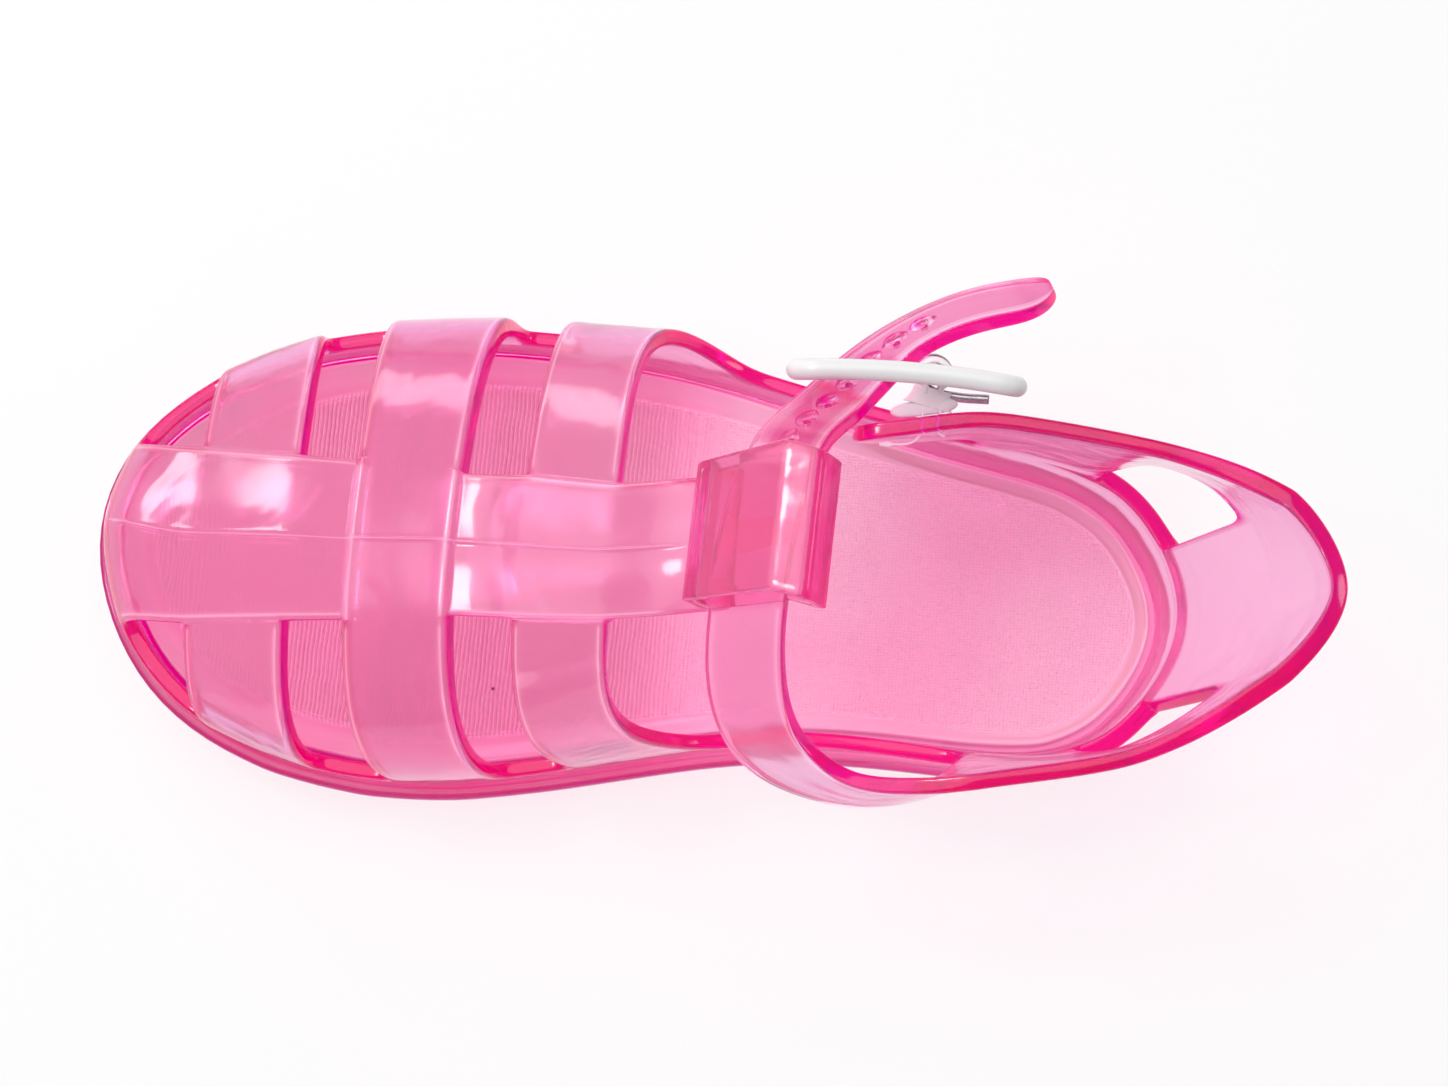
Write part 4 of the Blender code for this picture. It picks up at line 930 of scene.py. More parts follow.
mouth = ribbon_run[MOUTH_ROW]
leaf_run = mouth + LEAF_FIRST + LEAF_PITCH * np.arange(LEAF_COUNT)
middle, along, across, normal = strap_frame(leaf_run)
if np.dot(normal[0], OUT_AND_UP) < 0:
    normal = -normal
turn = np.linspace(0.0, 2 * math.pi, 20, endpoint=False)
reach = np.radians(np.linspace(-LEAF_END, LEAF_END, 13))


def capped_tubes(grids):
    """Points and faces of closed tubes, each a grid of rings with a cap at both ends."""
    count, rows, columns = grids.shape[:3]
    faces = []
    for start in range(0, count * rows * columns, rows * columns):
        first = np.arange(start, start + columns)
        faces += grid_quads(rows, columns, start, wrap_columns=True).tolist()
        faces += [first[::-1].tolist(), (first + (rows - 1) * columns).tolist()]
    return grids.reshape(-1, 3), faces


def spindles():
    """Leaf point = middle + L sin u along + W cos^p u cos v across + D cos u sin v out."""
    long = LEAF_LONG * np.sin(reach)[:, None] * np.ones(len(turn))[None]
    wide = LEAF_WIDE * (np.cos(reach) ** LEAF_POINT)[:, None] * np.cos(turn)[None]
    deep = LEAF_DEEP * np.cos(reach)[:, None] * np.sin(turn)[None]
    return capped_tubes(
        middle[:, None, None]
        + long[None, ..., None] * along[:, None, None]
        + wide[None, ..., None] * across[:, None, None]
        + deep[None, ..., None] * normal[:, None, None]
    )


def pins():
    """Round pins through the ribbon at each leaf."""
    ring = PINHOLE * (np.cos(turn)[:, None] * along[:, None] + np.sin(turn)[:, None] * across[:, None])
    reach = PIN_REACH[:, None, None] * normal[:, None, None]
    return capped_tubes(middle[:, None, None] + ring[:, None] + reach)


def outward(thing):
    """Turn a closed tool's faces outwards."""
    shape = bmesh.new()
    shape.from_mesh(thing.data)
    bmesh.ops.recalc_face_normals(shape, faces=shape.faces[:])
    shape.to_mesh(thing.data)
    shape.free()
    return thing


combine(strap_cage, outward(piece("leaves", *spindles())), "DIFFERENCE")
combine(strap_cage, outward(piece("pins", *pins())), "DIFFERENCE")
strap_cage.data.shade_smooth()
strap_cage.data.set_sharp_from_angle(angle=SHARP_ANGLE)
print("Leaves along the tail:", LEAF_COUNT)

# %% [markdown]
# ## Depth of the colour
# Clear vinyl is pale across a thin wall and deep along it, so the rim mark steers the colour later. The
# keeper came in by a Boolean and has no mark of its own, so it gets one from its place in the sleeve: its
# rear wall is seen edge on and is the deepest. The thick tail is a little deeper than the straps.

# %% Keeper and tail
KEEPER_DEEP = 0.33
KEEPER_WALL_DEEP = {"rear": 0.6, "front": 0.3}
KEEPER_WALL_BAND = (0.9, 0.3)
KEEPER_NEAR = (0.1, 0.3)
TAIL_DEEP = 0.55
TAIL_FROM = 6.0
TAIL_BAND = (8.0, 6.0)


def keeper_depth(points, rim):
    """Rim set anew in the sleeve: an even depth, and more towards its front and rear walls."""
    away = points - KEEPER_CENTRE
    flat = np.column_stack([away[:, 0] - KEEPER_SKEW * points[:, 1], away[:, 2]])
    depth, high = flat @ keeper_back, flat @ np.array([-keeper_back[1], keeper_back[0]])
    start, stop = (np.interp(depth, KEEPER_ENDS[:, 0], KEEPER_ENDS[:, k]) for k in (1, 2))
    inside = (np.abs(depth) < KEEPER_HALF + KEEPER_NEAR[0]) & (high > KEEPER_LOW - KEEPER_NEAR[0])
    inside &= (points[:, 1] > start - KEEPER_NEAR[1]) & (points[:, 1] < stop + KEEPER_NEAR[1])
    outer, inner = KEEPER_WALL_BAND
    walls = np.clip((np.abs(depth) - KEEPER_HALF + outer) / (outer - inner), 0.0, 1.0)
    walls *= np.where(depth > 0, KEEPER_WALL_DEEP["rear"], KEEPER_WALL_DEEP["front"])
    return np.where(inside, KEEPER_DEEP + walls, rim)


def tail_depth(points, rim):
    """Rim raised near the middle line of the tail, apart from its painted highlight lines."""
    tail = strap_frame(np.linspace(mouth + TAIL_FROM, ribbon_run[-1], 40))[0]
    near = np.linalg.norm(points[:, None] - tail[None], axis=2).min(axis=1)
    fade = TAIL_DEEP * np.clip((TAIL_BAND[0] - near) / (TAIL_BAND[0] - TAIL_BAND[1]), 0.0, 1.0)
    return np.where((fade > 0.0) & (rim >= 0.0), np.maximum(rim, fade), rim)


points = np.empty(3 * len(strap_cage.data.vertices))
strap_cage.data.vertices.foreach_get("co", points)
points = points.reshape(-1, 3) / MM + SHIFT
rim = np.empty(len(points))
layer = strap_cage.data.attributes["rim"]
layer.data.foreach_get("value", rim)
rim = tail_depth(points, keeper_depth(points, rim))
layer.data.foreach_set("value", rim)
print("Rim from", round(float(rim.min()), 2), "to", round(float(rim.max()), 2))

# %% [markdown]
# ## The sole
# The sole is a thick pad with a rounded welt, a low fillet up to the wall, and a footbed with a fine
# moulded grain. Rings of points climb from the ground round the welt and down to the footbed, and ladders
# of rows close it above and below. Point attributes mark the grained footbed and the depth of the colour,
# which is strongest round the welt, for the material. Inside the wall that depth is greater in the forefoot,
# partly from the thick vinyl at the wall's foot and partly as painted shade of the wall and straps above it.

# %% Sole rings
GROOVES = np.array([28.0, 42.0, 56.0, 70.0, 124.0, 138.0])
GROOVE_HALF = 1.5
GROOVE_FLOOR = 0.8
GROOVE_DEPTH = 1.2
SOLE_ROWS = 36
SOLE_COLUMNS = 8
FILLET_RISE = 2.6
FILLET_INSET = 0.8
SEAT_PLAY = 0.25
SEAT = WELT + WALL + GAP + SEAT_PLAY
BED_INSET = ([0.0, 20.0, 80.0, 120.0], [8.5, 9.5, 8.5, 6.8])
BED_SAG = 0.3


def sole_rows():
    """Rim fractions of both sides for each row, and how deep each row lies in a groove."""
    lines = (GROOVES[:, None] + np.array([-GROOVE_HALF, -GROOVE_FLOOR, GROOVE_FLOOR, GROOVE_HALF])).ravel()
    marks = {s: np.concatenate([[0.0], share_at_x(s, lines), [1.0]]) for s in SIDES}
    cells = np.maximum(1, np.round(np.diff(marks["outer"]) * SOLE_ROWS).astype(int))
    rows = {}
    for side, mark in marks.items():
        runs = [mark[i] + (mark[i + 1] - mark[i]) * np.arange(n) / n for i, n in enumerate(cells)]
        rows[side] = np.concatenate(runs + [[1.0]])
    depth = [np.where(np.arange(n) == 0, GROOVE_DEPTH * (i % 4 in (2, 3)), 0.0) for i, n in enumerate(cells)]
    return rows, np.concatenate(depth + [[0.0]])


rows, depth = sole_rows()
side_count = len(rows["outer"])
loop_share = [rows["outer"], rows["inner"][-2:0:-1]]
plan = np.vstack([edge(s, share, 0.0)[0] for s, share in zip(("outer", "inner"), loop_share)])
out = np.vstack([edge(s, share, 0.0)[1] for s, share in zip(("outer", "inner"), loop_share)])
bed = np.interp(plan[:, 0], *BED_INSET)
# Inset, 0 to measure from the ground and 1 from the welt, height above that, depth of the colour
RINGS = [
    (4.6, 0, 0.0, 0.6), (3.4, 0, 0.05, 0.6), (1.9, 0, 0.6, 0.6), (1.1, 0, 1.9, 0.8),
    (1.1, 1, -3.1, 1.0), (0.9, 1, -2.8, 1.0), (0.2, 1, -2.4, 1.0), (0.0, 1, -1.9, 1.0),
    (0.0, 1, -0.7, 1.0), (0.2, 1, -0.15, 0.9), (0.8, 1, 0.0, 0.7), (1.25, 1, 0.0, 0.15),
    (1.7, 1, -0.1, 0.8), (SEAT - 0.3, 1, 0.0, 1.0),
    (SEAT, 1, 0.15, 1.0), (SEAT + 0.05, 1, FILLET_RISE - 0.3, 0.6), (SEAT + 0.3, 1, FILLET_RISE, 0.2),
    (SEAT + FILLET_INSET, 1, FILLET_RISE - 0.2, 0.05),
]
# Share of the way from the fillet to the footbed's edge, height above the welt, colour depth, grain
BED_RINGS = [(0.5, 1.25, 0.05, 0.0), (0.9, 0.75, 0.3, 0.0), (1.0, 0.7, 0.1, 0.5), (1.08, 0.62, 0.0, 1.0)]
# Inset past the footbed's edge, height above the welt, colour depth, grain
INNER_RING = (3.0, 0.3, 0.0, 1.0)


def sole_ring(inset, base, rise):
    """Outline moved in by the inset, at a height above the ground (base 0) or the welt (base 1)."""
    ring = plan - out * np.broadcast_to(inset, len(plan))[:, None]
    return np.column_stack([ring, heights(ring[:, 0])[:, base] + rise])


fillet = SEAT + FILLET_INSET
ring_points = [sole_ring(inset, base, rise) for inset, base, rise, _ in RINGS]
ring_points += [sole_ring(fillet + share * (bed - fillet), 1, rise) for share, rise, *_ in BED_RINGS]
ring_points.append(sole_ring(bed + INNER_RING[0], 1, INNER_RING[1]))
ring_points = np.array(ring_points)
ring_count = len(plan)
ring_deep = np.array([row[3] for row in RINGS] + [row[2] for row in [*BED_RINGS, INNER_RING]])
ring_grain = np.array([0.0] * len(RINGS) + [row[3] for row in [*BED_RINGS, INNER_RING]])
print("Sole rings:", len(ring_points), "of", ring_count, "points")


# %% Sole ladders
def ladder(ring, base, top):
    """Rows of points straight across between both sides of a ring."""
    share = np.linspace(0.0, 1.0, SOLE_COLUMNS + 1)[1:-1, None, None]
    left = ring[1 : side_count - 1]
    right = ring[-1 : -(side_count - 1) : -1]
    rows = left[None] * (1 - share) + right[None] * share
    if top:
        rows[..., 2] -= BED_SAG * np.sin(math.pi * share[..., 0])
    else:
        rows[..., 2] = heights(rows[..., 0])[..., 0] + depth[None, 1:-1]
    number = base + np.arange(rows.shape[0] * rows.shape[1]).reshape(rows.shape[:2])
    return rows.reshape(-1, 3), number


def ladder_faces(number, start, top):
    """Quads of a ladder between the ring's two sides, with triangles at the toe and the heel."""
    left = start + np.arange(1, side_count - 1)
    right = start + ring_count - np.arange(1, side_count - 1)
    columns = np.vstack([left, number, right])
    quads = np.stack([columns[:-1, :-1], columns[:-1, 1:], columns[1:, 1:], columns[1:, :-1]], axis=-1)
    ends = []
    for tip, spot in ((start, 0), (start + side_count - 1, -1)):
        pair = np.stack([columns[:-1, spot], columns[1:, spot], np.full(len(columns) - 1, tip)], axis=1)
        ends += (pair[:, ::-1] if spot == 0 else pair).tolist()
    faces = quads.reshape(-1, 4).tolist() + [face[::-1] for face in ends]
    return faces if top else [face[::-1] for face in faces]


# %% Sole piece
INSIDE_RING = 12
# Depth inside the wall from forefoot to heel: partly thick vinyl, partly painted shade of the wall and straps
# over the forefoot
INSIDE_DEEP_AND_SHADE = ([70.0, 110.0], [1.0, 0.2])
BELOW_DEEP = 0.6

points = ring_points.reshape(-1, 3)
grain = np.repeat(ring_grain, ring_count)
inside = (np.arange(len(ring_deep)) >= INSIDE_RING)[:, None]
# Inside rings get the forefoot's painted shade from the wall and straps, fading towards the heel.
rim = (ring_deep[:, None] * np.where(inside, np.interp(plan[:, 0], *INSIDE_DEEP_AND_SHADE), 1.0)).ravel()
faces = grid_quads(len(ring_points), ring_count, wrap_columns=True).tolist()
for top in (False, True):
    spot = len(ring_points) - 1 if top else 0
    rows_between, number = ladder(ring_points[spot], len(points), top)
    faces += ladder_faces(number, spot * ring_count, top)
    points = np.vstack([points, rows_between])
    grain = np.concatenate([grain, np.full(len(rows_between), 1.0 if top else 0.0)])
    rim = np.concatenate([rim, np.full(len(rows_between), 0.0 if top else BELOW_DEEP)])
sole = outward(piece("sole_pad", points, faces, None, rim))
layer = sole.data.attributes.new("grain", "FLOAT", "POINT")
layer.data.foreach_set("value", grain)
rounded(sole, 1)
sole.data.shade_smooth()
print("Sole points:", len(sole.data.vertices))

# %% [markdown]
# ## The buckle
# A white painted wire frame, a white clip folded through the tab, and a steel prong. Wires are a circle
# carried along a path; the clip is a flat rounded strip carried along its own folded path, with a thicker
# body below the bar and a shoulder that lies on the tab. Its legs go through the slots cut before.


# %% Wires and strips
def swept(path, profile, up, closed, swell=1.0, rise=1.0):
    """Carry a profile (side, lift) along a path, in the plane across it that holds the up direction; swell
    and rise widen its side and its lift row by row."""
    if closed:
        along = unit(np.roll(path, -1, axis=0) - np.roll(path, 1, axis=0))
    else:
        along = unit(np.gradient(path, axis=0))
    side = unit(np.cross(along, up))
    lift = np.cross(side, along)
    wide = np.broadcast_to(swell, len(path))[:, None, None] * profile[None, :, :1]
    tall = np.broadcast_to(rise, len(path))[:, None, None] * profile[None, :, 1:]
    grid = path[:, None] + wide * side[:, None] + tall * lift[:, None]
    rows, columns = grid.shape[:2]
    faces = grid_quads(rows, columns, 0, closed, True).tolist()
    if not closed:
        faces.append(list(range(columns)))
        faces.append([(rows - 1) * columns + c for c in range(columns)][::-1])
    return grid.reshape(-1, 3), faces


def circle(radius, count=20):
    """Points of a circle as side and lift."""
    turn = np.linspace(0.0, 2 * math.pi, count, endpoint=False)
    return radius * np.column_stack([np.cos(turn), np.sin(turn)])


def smooth_path(points, count):
    """Hermite curve through points, evenly spaced along its length."""
    points = np.asarray(points, float)
    run = np.concatenate([[0.0], np.cumsum(np.linalg.norm(np.diff(points, axis=0), axis=1))])
    return hermite(run, points, np.linspace(0.0, run[-1], count))


def joined(name, parts):
    """One object from several closed shells."""
    points = []
    faces = []
    base = 0
    for found, quads in parts:
        points.append(found)
        faces += [[base + q for q in quad] for quad in quads]
        base += len(found)
    return outward(piece(name, np.vstack(points), faces))


# %% Frame and bar
def frame_path(count=28):
    """Rounded rectangle in the buckle's plane, bowed out."""
    centre = np.array([FRAME_LONG / 2, FRAME_HIGH / 2]) - FRAME_CORNER
    corners = np.array([(1, 1), (-1, 1), (-1, -1), (1, -1)]) * centre
    side = np.linspace(0.0, 1.0, count)[1:-1, None]
    path = []
    for k, here in enumerate(corners):
        turn = np.radians(90.0 * k + np.linspace(0.0, 90.0, 9))
        bend = here + FRAME_CORNER * np.column_stack([np.cos(turn), np.sin(turn)])
        path += [bend, bend[-1] + (corners[(k + 1) % 4] - here) * side]
    a, b = np.vstack(path).T
    return FRAME_CENTRE + a[:, None] * frame_long + b[:, None] * frame_high + bow(a)[:, None] * frame_out


bar_reach = frame_high * (FRAME_HIGH / 2 + BAR_SINK)
bar_path = bar_middle + np.linspace(-1.0, 1.0, 9)[:, None] * bar_reach
buckle = joined("buckle_wire", [
    swept(frame_path(), circle(FRAME_WIRE), frame_out, True),
    swept(bar_path, circle(BAR_WIRE, 16), frame_out, False),
])


# %% Clip
CLIP_BEND = (-5.6, -3.0)
CLIP_EYE = (235.0, -55.0)
CLIP_PLAY = 0.1
CLIP_FOLD = 0.6
CLIP_FOLD_RISE = (0.5, 0.9)
CLIP_THIN = {"side": 0.35, "lift": 0.3}
CLIP_TIP = (1.2, 1.8)
BODY_FROM = -1.9
BODY_SHIFT = -0.5
BODY_INSET = 0.1
SHOULDER_TIP = 0.04
SHOULDER_RISE = (0.7, 0.3)


def clip_path():
    """Place, depth and height: folded end, leg, eye round the bar, leg and folded end."""
    eye = BAR_WIRE + GAP + CLIP_STRIP / 2 + CLIP_PLAY
    turn = np.radians(np.linspace(*CLIP_EYE, 25))
    fold = CLIP_LEGS + CLIP_FOLD
    rows = [
        (-CLIP_HOOKS[0], CLIP_DEPTH - CLIP_SLANT * CLIP_HOOKS[0], CLIP_FOLD_HIGH),
        (-fold, CLIP_DEPTH - CLIP_SLANT * fold, CLIP_FOLD_HIGH),
        (-CLIP_LEGS, CLIP_DEPTH + CLIP_FOLD_RISE[0], CLIP_FOLD_HIGH),
        (-CLIP_LEGS, CLIP_BEND[0], CLIP_FOLD_HIGH),
        (-CLIP_LEGS, CLIP_BEND[1], 0.0),
    ]
    rows += list(zip(eye * np.cos(turn), eye * np.sin(turn), np.zeros(len(turn))))
    rows += [
        (CLIP_LEGS, CLIP_BEND[1], 0.0),
        (CLIP_LEGS, CLIP_BEND[0], CLIP_FOLD_HIGH),
        (CLIP_LEGS, CLIP_DEPTH + CLIP_FOLD_RISE[1], CLIP_FOLD_HIGH),
        (fold, CLIP_DEPTH + CLIP_SLANT * fold, CLIP_FOLD_HIGH),
        (CLIP_HOOKS[1], CLIP_DEPTH + CLIP_SLANT * CLIP_HOOKS[1], CLIP_FOLD_HIGH),
    ]
    return np.array(rows)


def strip_profile(half_thick, half_high, count=32):
    """Flat strip with rounded edges: side = square root of the cosine, lift = cube root of the sine."""
    turn = np.linspace(0.0, 2 * math.pi, count, endpoint=False)
    cosine, sine = np.cos(turn), np.sin(turn)
    side = half_thick * np.sign(cosine) * np.abs(cosine) ** (1 / 2)
    lift = half_high * np.sign(sine) * np.abs(sine) ** (1 / 3)
    return np.column_stack([side, lift])


strip = smooth_path(clip_middle + clip_path() @ np.array([frame_long, frame_out, frame_high]), 140)
leg = np.interp((strip - clip_middle) @ frame_out, [CLIP_BEND[0], SLOT_DEPTHS[1]], [0.0, 1.0])
tip_places = -CLIP_HOOKS[0] + np.array([0.0, *CLIP_TIP])
tip = np.interp((strip - clip_middle) @ frame_long, tip_places, [0.1, 1.0, 0.0])
strip_side = CLIP_THIN["side"] + (1 - CLIP_THIN["side"]) * np.maximum(leg, tip * (leg == 0))
strip_lift = CLIP_THIN["lift"] + (1 - CLIP_THIN["lift"]) * leg

share = np.linspace(0.0, 1.0, 15)
body = clip_middle + (BODY_SHIFT * share)[:, None] * frame_long
body = body + (BODY_FROM + (CLIP_SEAT - BODY_FROM) * share)[:, None] * frame_out
body_side = CLIP_BODY[0] + (CLIP_BODY[1] - CLIP_BODY[0]) * share**2

reach = np.linspace(*CLIP_SHOULDER, 25)
from_middle = (2 * reach - sum(CLIP_SHOULDER)) / (CLIP_SHOULDER[1] - CLIP_SHOULDER[0])
taper = np.sqrt(np.maximum(1 - from_middle**4, SHOULDER_TIP))
shoulder = clip_middle + reach[:, None] * frame_long + (CLIP_SEAT + CLIP_SLANT * reach)[:, None] * frame_out
shoulder_rise = SHOULDER_RISE[0] + SHOULDER_RISE[1] * taper
block = strip_profile(1.0, CLIP_HIGH / 2 - BODY_INSET)
clip = joined("buckle_clip_strip", [
    swept(strip, strip_profile(CLIP_STRIP / 2, CLIP_HIGH / 2), frame_high, False, strip_side, strip_lift),
    swept(body, block, frame_high, False, body_side),
    swept(shoulder, block, frame_high, False, taper, shoulder_rise),
])

# %% Prong
# Along the frame and out of it, from the end of the eye
PRONG_SHANK = np.array([(1.2, -0.5), (4.0, -0.9), (8.5, -0.9)])
PRONG_EYE = (-30.0, 250.0)
PRONG_PLAY = 0.05

eye = BAR_WIRE + GAP + PRONG_WIRE + PRONG_PLAY
turn = np.radians(np.linspace(*PRONG_EYE, 20))
ring = eye * np.column_stack([np.cos(turn), np.sin(turn)])
flat = np.vstack([ring, ring[-1] + PRONG_SHANK])
wire = bar_middle + frame_high * PRONG_SHIFT + flat[:, :1] * frame_long + flat[:, 1:] * frame_out
prong = joined("buckle_pin", [swept(smooth_path(wire, 70), circle(PRONG_WIRE, 14), frame_high, False)])
print("Buckle pieces:", buckle.name, clip.name, prong.name)

# %% [markdown]
# ## Marks of the mould
# Clear vinyl shows small things: dark specks caught in the melt and soft flow waves. Both materials of
# the shoe use them, so they are one node group with its own amounts. A few helpers come first, since a
# material is easier to read as a chain of named values than as a list of links.


# %% Node helpers
def node(tree, kind, inputs=(), **properties):
    """New shader node with its properties set; each input, by name or number, gets a value or a link."""
    made = tree.nodes.new("ShaderNode" + kind)
    for name, value in properties.items():
        setattr(made, name, value)
    for name, value in dict(inputs).items():
        if isinstance(value, bpy.types.NodeSocket):
            tree.links.new(value, made.inputs[name])
        else:
            made.inputs[name].default_value = value
    return made


def rgba(colour):
    """Opaque colour with its fourth value."""
    return (*colour, 1.0)


def maths(tree, operation, *values):
    """Result of a Math node on values or sockets."""
    return node(tree, "Math", dict(enumerate(values)), operation=operation).outputs[0]


def ramp(tree, value, start, stop):
    """0 at the start and 1 at the stop, with a smooth step between."""
    inputs = {"Value": value, "From Min": start, "From Max": stop}
    return node(tree, "MapRange", inputs, interpolation_type="SMOOTHSTEP").outputs["Result"]


def between(tree, share, low, high):
    """The low value where the share is 0 and the high value where it is 1."""
    return node(tree, "MapRange", {"Value": share, "To Min": low, "To Max": high}).outputs["Result"]


def colour_mix(tree, share, plain, other, blend="MIX"):
    """The plain colour where the share is 0, blended with the other where it is 1."""
    inputs = {"Factor": share, "A": plain, "B": other}
    return node(tree, "Mix", inputs, data_type="RGBA", blend_type=blend).outputs["Result"]


# %% Marks group
SPECK_EDGE = (0.035, 0.02)
SPECK_RARITY = 0.72


def marks_group():
    """Speck = 1 where a Voronoi cell's chosen point is near; wave = stretched noise."""
    tree = bpy.data.node_groups.new("mould_marks", "ShaderNodeTree")
    sockets = {"Speck Scale": "INPUT", "Wave Scale": "INPUT", "Speck": "OUTPUT", "Wave": "OUTPUT"}
    for name, way in sockets.items():
        tree.interface.new_socket(name, in_out=way, socket_type="NodeSocketFloat")
    given = tree.nodes.new("NodeGroupInput")
    result = tree.nodes.new("NodeGroupOutput")
    where = node(tree, "TexCoord").outputs["Object"]
    cells = node(tree, "TexVoronoi", {"Vector": where, "Scale": given.outputs["Speck Scale"]}, feature="F1")
    near = ramp(tree, cells.outputs["Distance"], *SPECK_EDGE)
    red = node(tree, "SeparateColor", {"Color": cells.outputs["Color"]}).outputs["Red"]
    speck = maths(tree, "MULTIPLY", near, maths(tree, "GREATER_THAN", red, SPECK_RARITY))
    flow = {"Vector": where, "Scale": given.outputs["Wave Scale"], "Detail": 2.0, "Distortion": 1.2}
    tree.links.new(speck, result.inputs["Speck"])
    tree.links.new(node(tree, "TexNoise", flow).outputs["Fac"], result.inputs["Wave"])
    return tree


MARKS = marks_group()
print("Marks group with", len(MARKS.nodes), "nodes")

# %% [markdown]
# ## Clear pink vinyl
# The straps are glass-like: a Principled shader with transmission, and an absorbing volume that eats
# green and some blue. Thin straps then stay pale and every long way through an edge turns magenta, as in
# the real moulding. Shadow rays see a plain tinted filter, so that light reaches the footbed. The rim mark
# deepens the colour of the edges further, and lets them glow a little, because clear vinyl pipes light to
# its edges by many more bounces than a picture has time for. Where it is negative, a painted highlight line
# glows.

# %% Vinyl and its marks
VINYL_IOR = 1.48


def vinyl(name, transmission, roughness, absorb, density, shade):
    """Principled glass with absorbing volume, mixed with a tinted filter for shadow rays."""
    look = bpy.data.materials.new(name)
    look.use_nodes = True
    tree = look.node_tree
    shader = tree.nodes["Principled BSDF"]
    shader.inputs["Transmission Weight"].default_value = transmission
    shader.inputs["Roughness"].default_value = roughness
    shader.inputs["IOR"].default_value = VINYL_IOR
    output = tree.nodes["Material Output"]
    volume = node(tree, "VolumeAbsorption", {"Color": rgba(absorb), "Density": density})
    tree.links.new(volume.outputs["Volume"], output.inputs["Volume"])
    shadow = node(tree, "LightPath").outputs["Is Shadow Ray"]
    pane = node(tree, "BsdfTransparent", {"Color": rgba(shade)}).outputs["BSDF"]
    mix = node(tree, "MixShader", {"Fac": shadow, 1: shader.outputs["BSDF"], 2: pane})
    tree.links.new(mix.outputs["Shader"], output.inputs["Surface"])
    return look, tree, shader


def tinted(tree, shader, colour, speck_colour, speck_scale, wave_scale, wave_height):
    """Colour with specks, and a bump from the flow waves on the shader; returns the colour and the bump."""
    marks = node(tree, "Group", {"Speck Scale": speck_scale, "Wave Scale": wave_scale}, node_tree=MARKS)
    wave = {"Strength": 1.0, "Distance": wave_height, "Height": marks.outputs["Wave"]}
    bump = node(tree, "Bump", wave).outputs["Normal"]
    tree.links.new(bump, shader.inputs["Normal"])
    return colour_mix(tree, marks.outputs["Speck"], rgba(colour), rgba(speck_colour)), bump


# %% Vinyl of the straps
# Colour of the painted highlight lines along beads and seams
HIGHLIGHT_LINE_COLOUR = (1.0, 0.9, 0.97)


def deepened(tree, shader, source, colour, glow, strength):
    """Base colour = the source, turned towards a deep colour by the rim. Emission = the glow by the square
    of the rim above 0, and a painted highlight line by the fourth power of the rim below 0."""
    rim = node(tree, "Attribute", attribute_name="rim").outputs["Fac"]
    tree.links.new(colour_mix(tree, rim, source, rgba(colour)), shader.inputs["Base Color"])
    above = maths(tree, "POWER", maths(tree, "MAXIMUM", rim, 0.0), 2.0)
    below = maths(tree, "POWER", maths(tree, "MINIMUM", rim, 0.0), 4.0)
    edge_glow = colour_mix(tree, above, rgba((0.0, 0.0, 0.0)), rgba(glow))
    tree.links.new(colour_mix(tree, below, edge_glow, rgba(HIGHLIGHT_LINE_COLOUR)), shader.inputs["Emission Color"])
    shader.inputs["Emission Strength"].default_value = strength


strap_vinyl, tree, shader = vinyl(
    "clear_pink_vinyl", transmission=0.9, roughness=0.11,
    absorb=(0.965, 0.0, 0.736), density=140.0, shade=(1.0, 0.82, 0.90),
)
tint, bump = tinted(
    tree, shader, colour=(0.95, 0.80, 0.85), speck_colour=(0.16, 0.02, 0.06),
    speck_scale=130.0, wave_scale=55.0, wave_height=0.00025,
)
# The rim deepens the edges and makes them glow, and its negative marks glow as painted highlight lines.
deepened(tree, shader, tint, colour=(0.70, 0.0, 0.26), glow=(0.42, 0.0, 0.18), strength=0.3)
wear(strap_cage, strap_vinyl, "upper")

# %% [markdown]
# ## Grained vinyl of the sole
# The footbed is matt, because its moulded grain scatters the light: fine ribs across the forefoot, and a
# linen-like grain from the waist back. Waves along X, and crossed waves with noise, give a height that
# feeds the bump, and darkens the colour a little with its height as painted shade of the relief. The
# forefoot between the straps is darker as well: painted shade of the straps above it.

# %% Ribs and linen
RIB_PITCH = 0.62
LINEN_PITCH = (0.5, 0.42)
LINEN_WEAVE = 0.4
LINEN_FROM_X = (-0.012, 0.006)
WOBBLE_SCALE = 260.0
WOBBLE = (0.0004, 0.0004, 0.0)
PEBBLE_SCALE = 2200.0


def wave_of(tree, value, pitch_mm):
    """0.5 + 0.5 sin(2 pi value / pitch) for a coordinate in metres."""
    turn = maths(tree, "MULTIPLY", value, 2 * math.pi / (pitch_mm * MM))
    return maths(tree, "MULTIPLY_ADD", maths(tree, "SINE", turn), 0.5, 0.5)


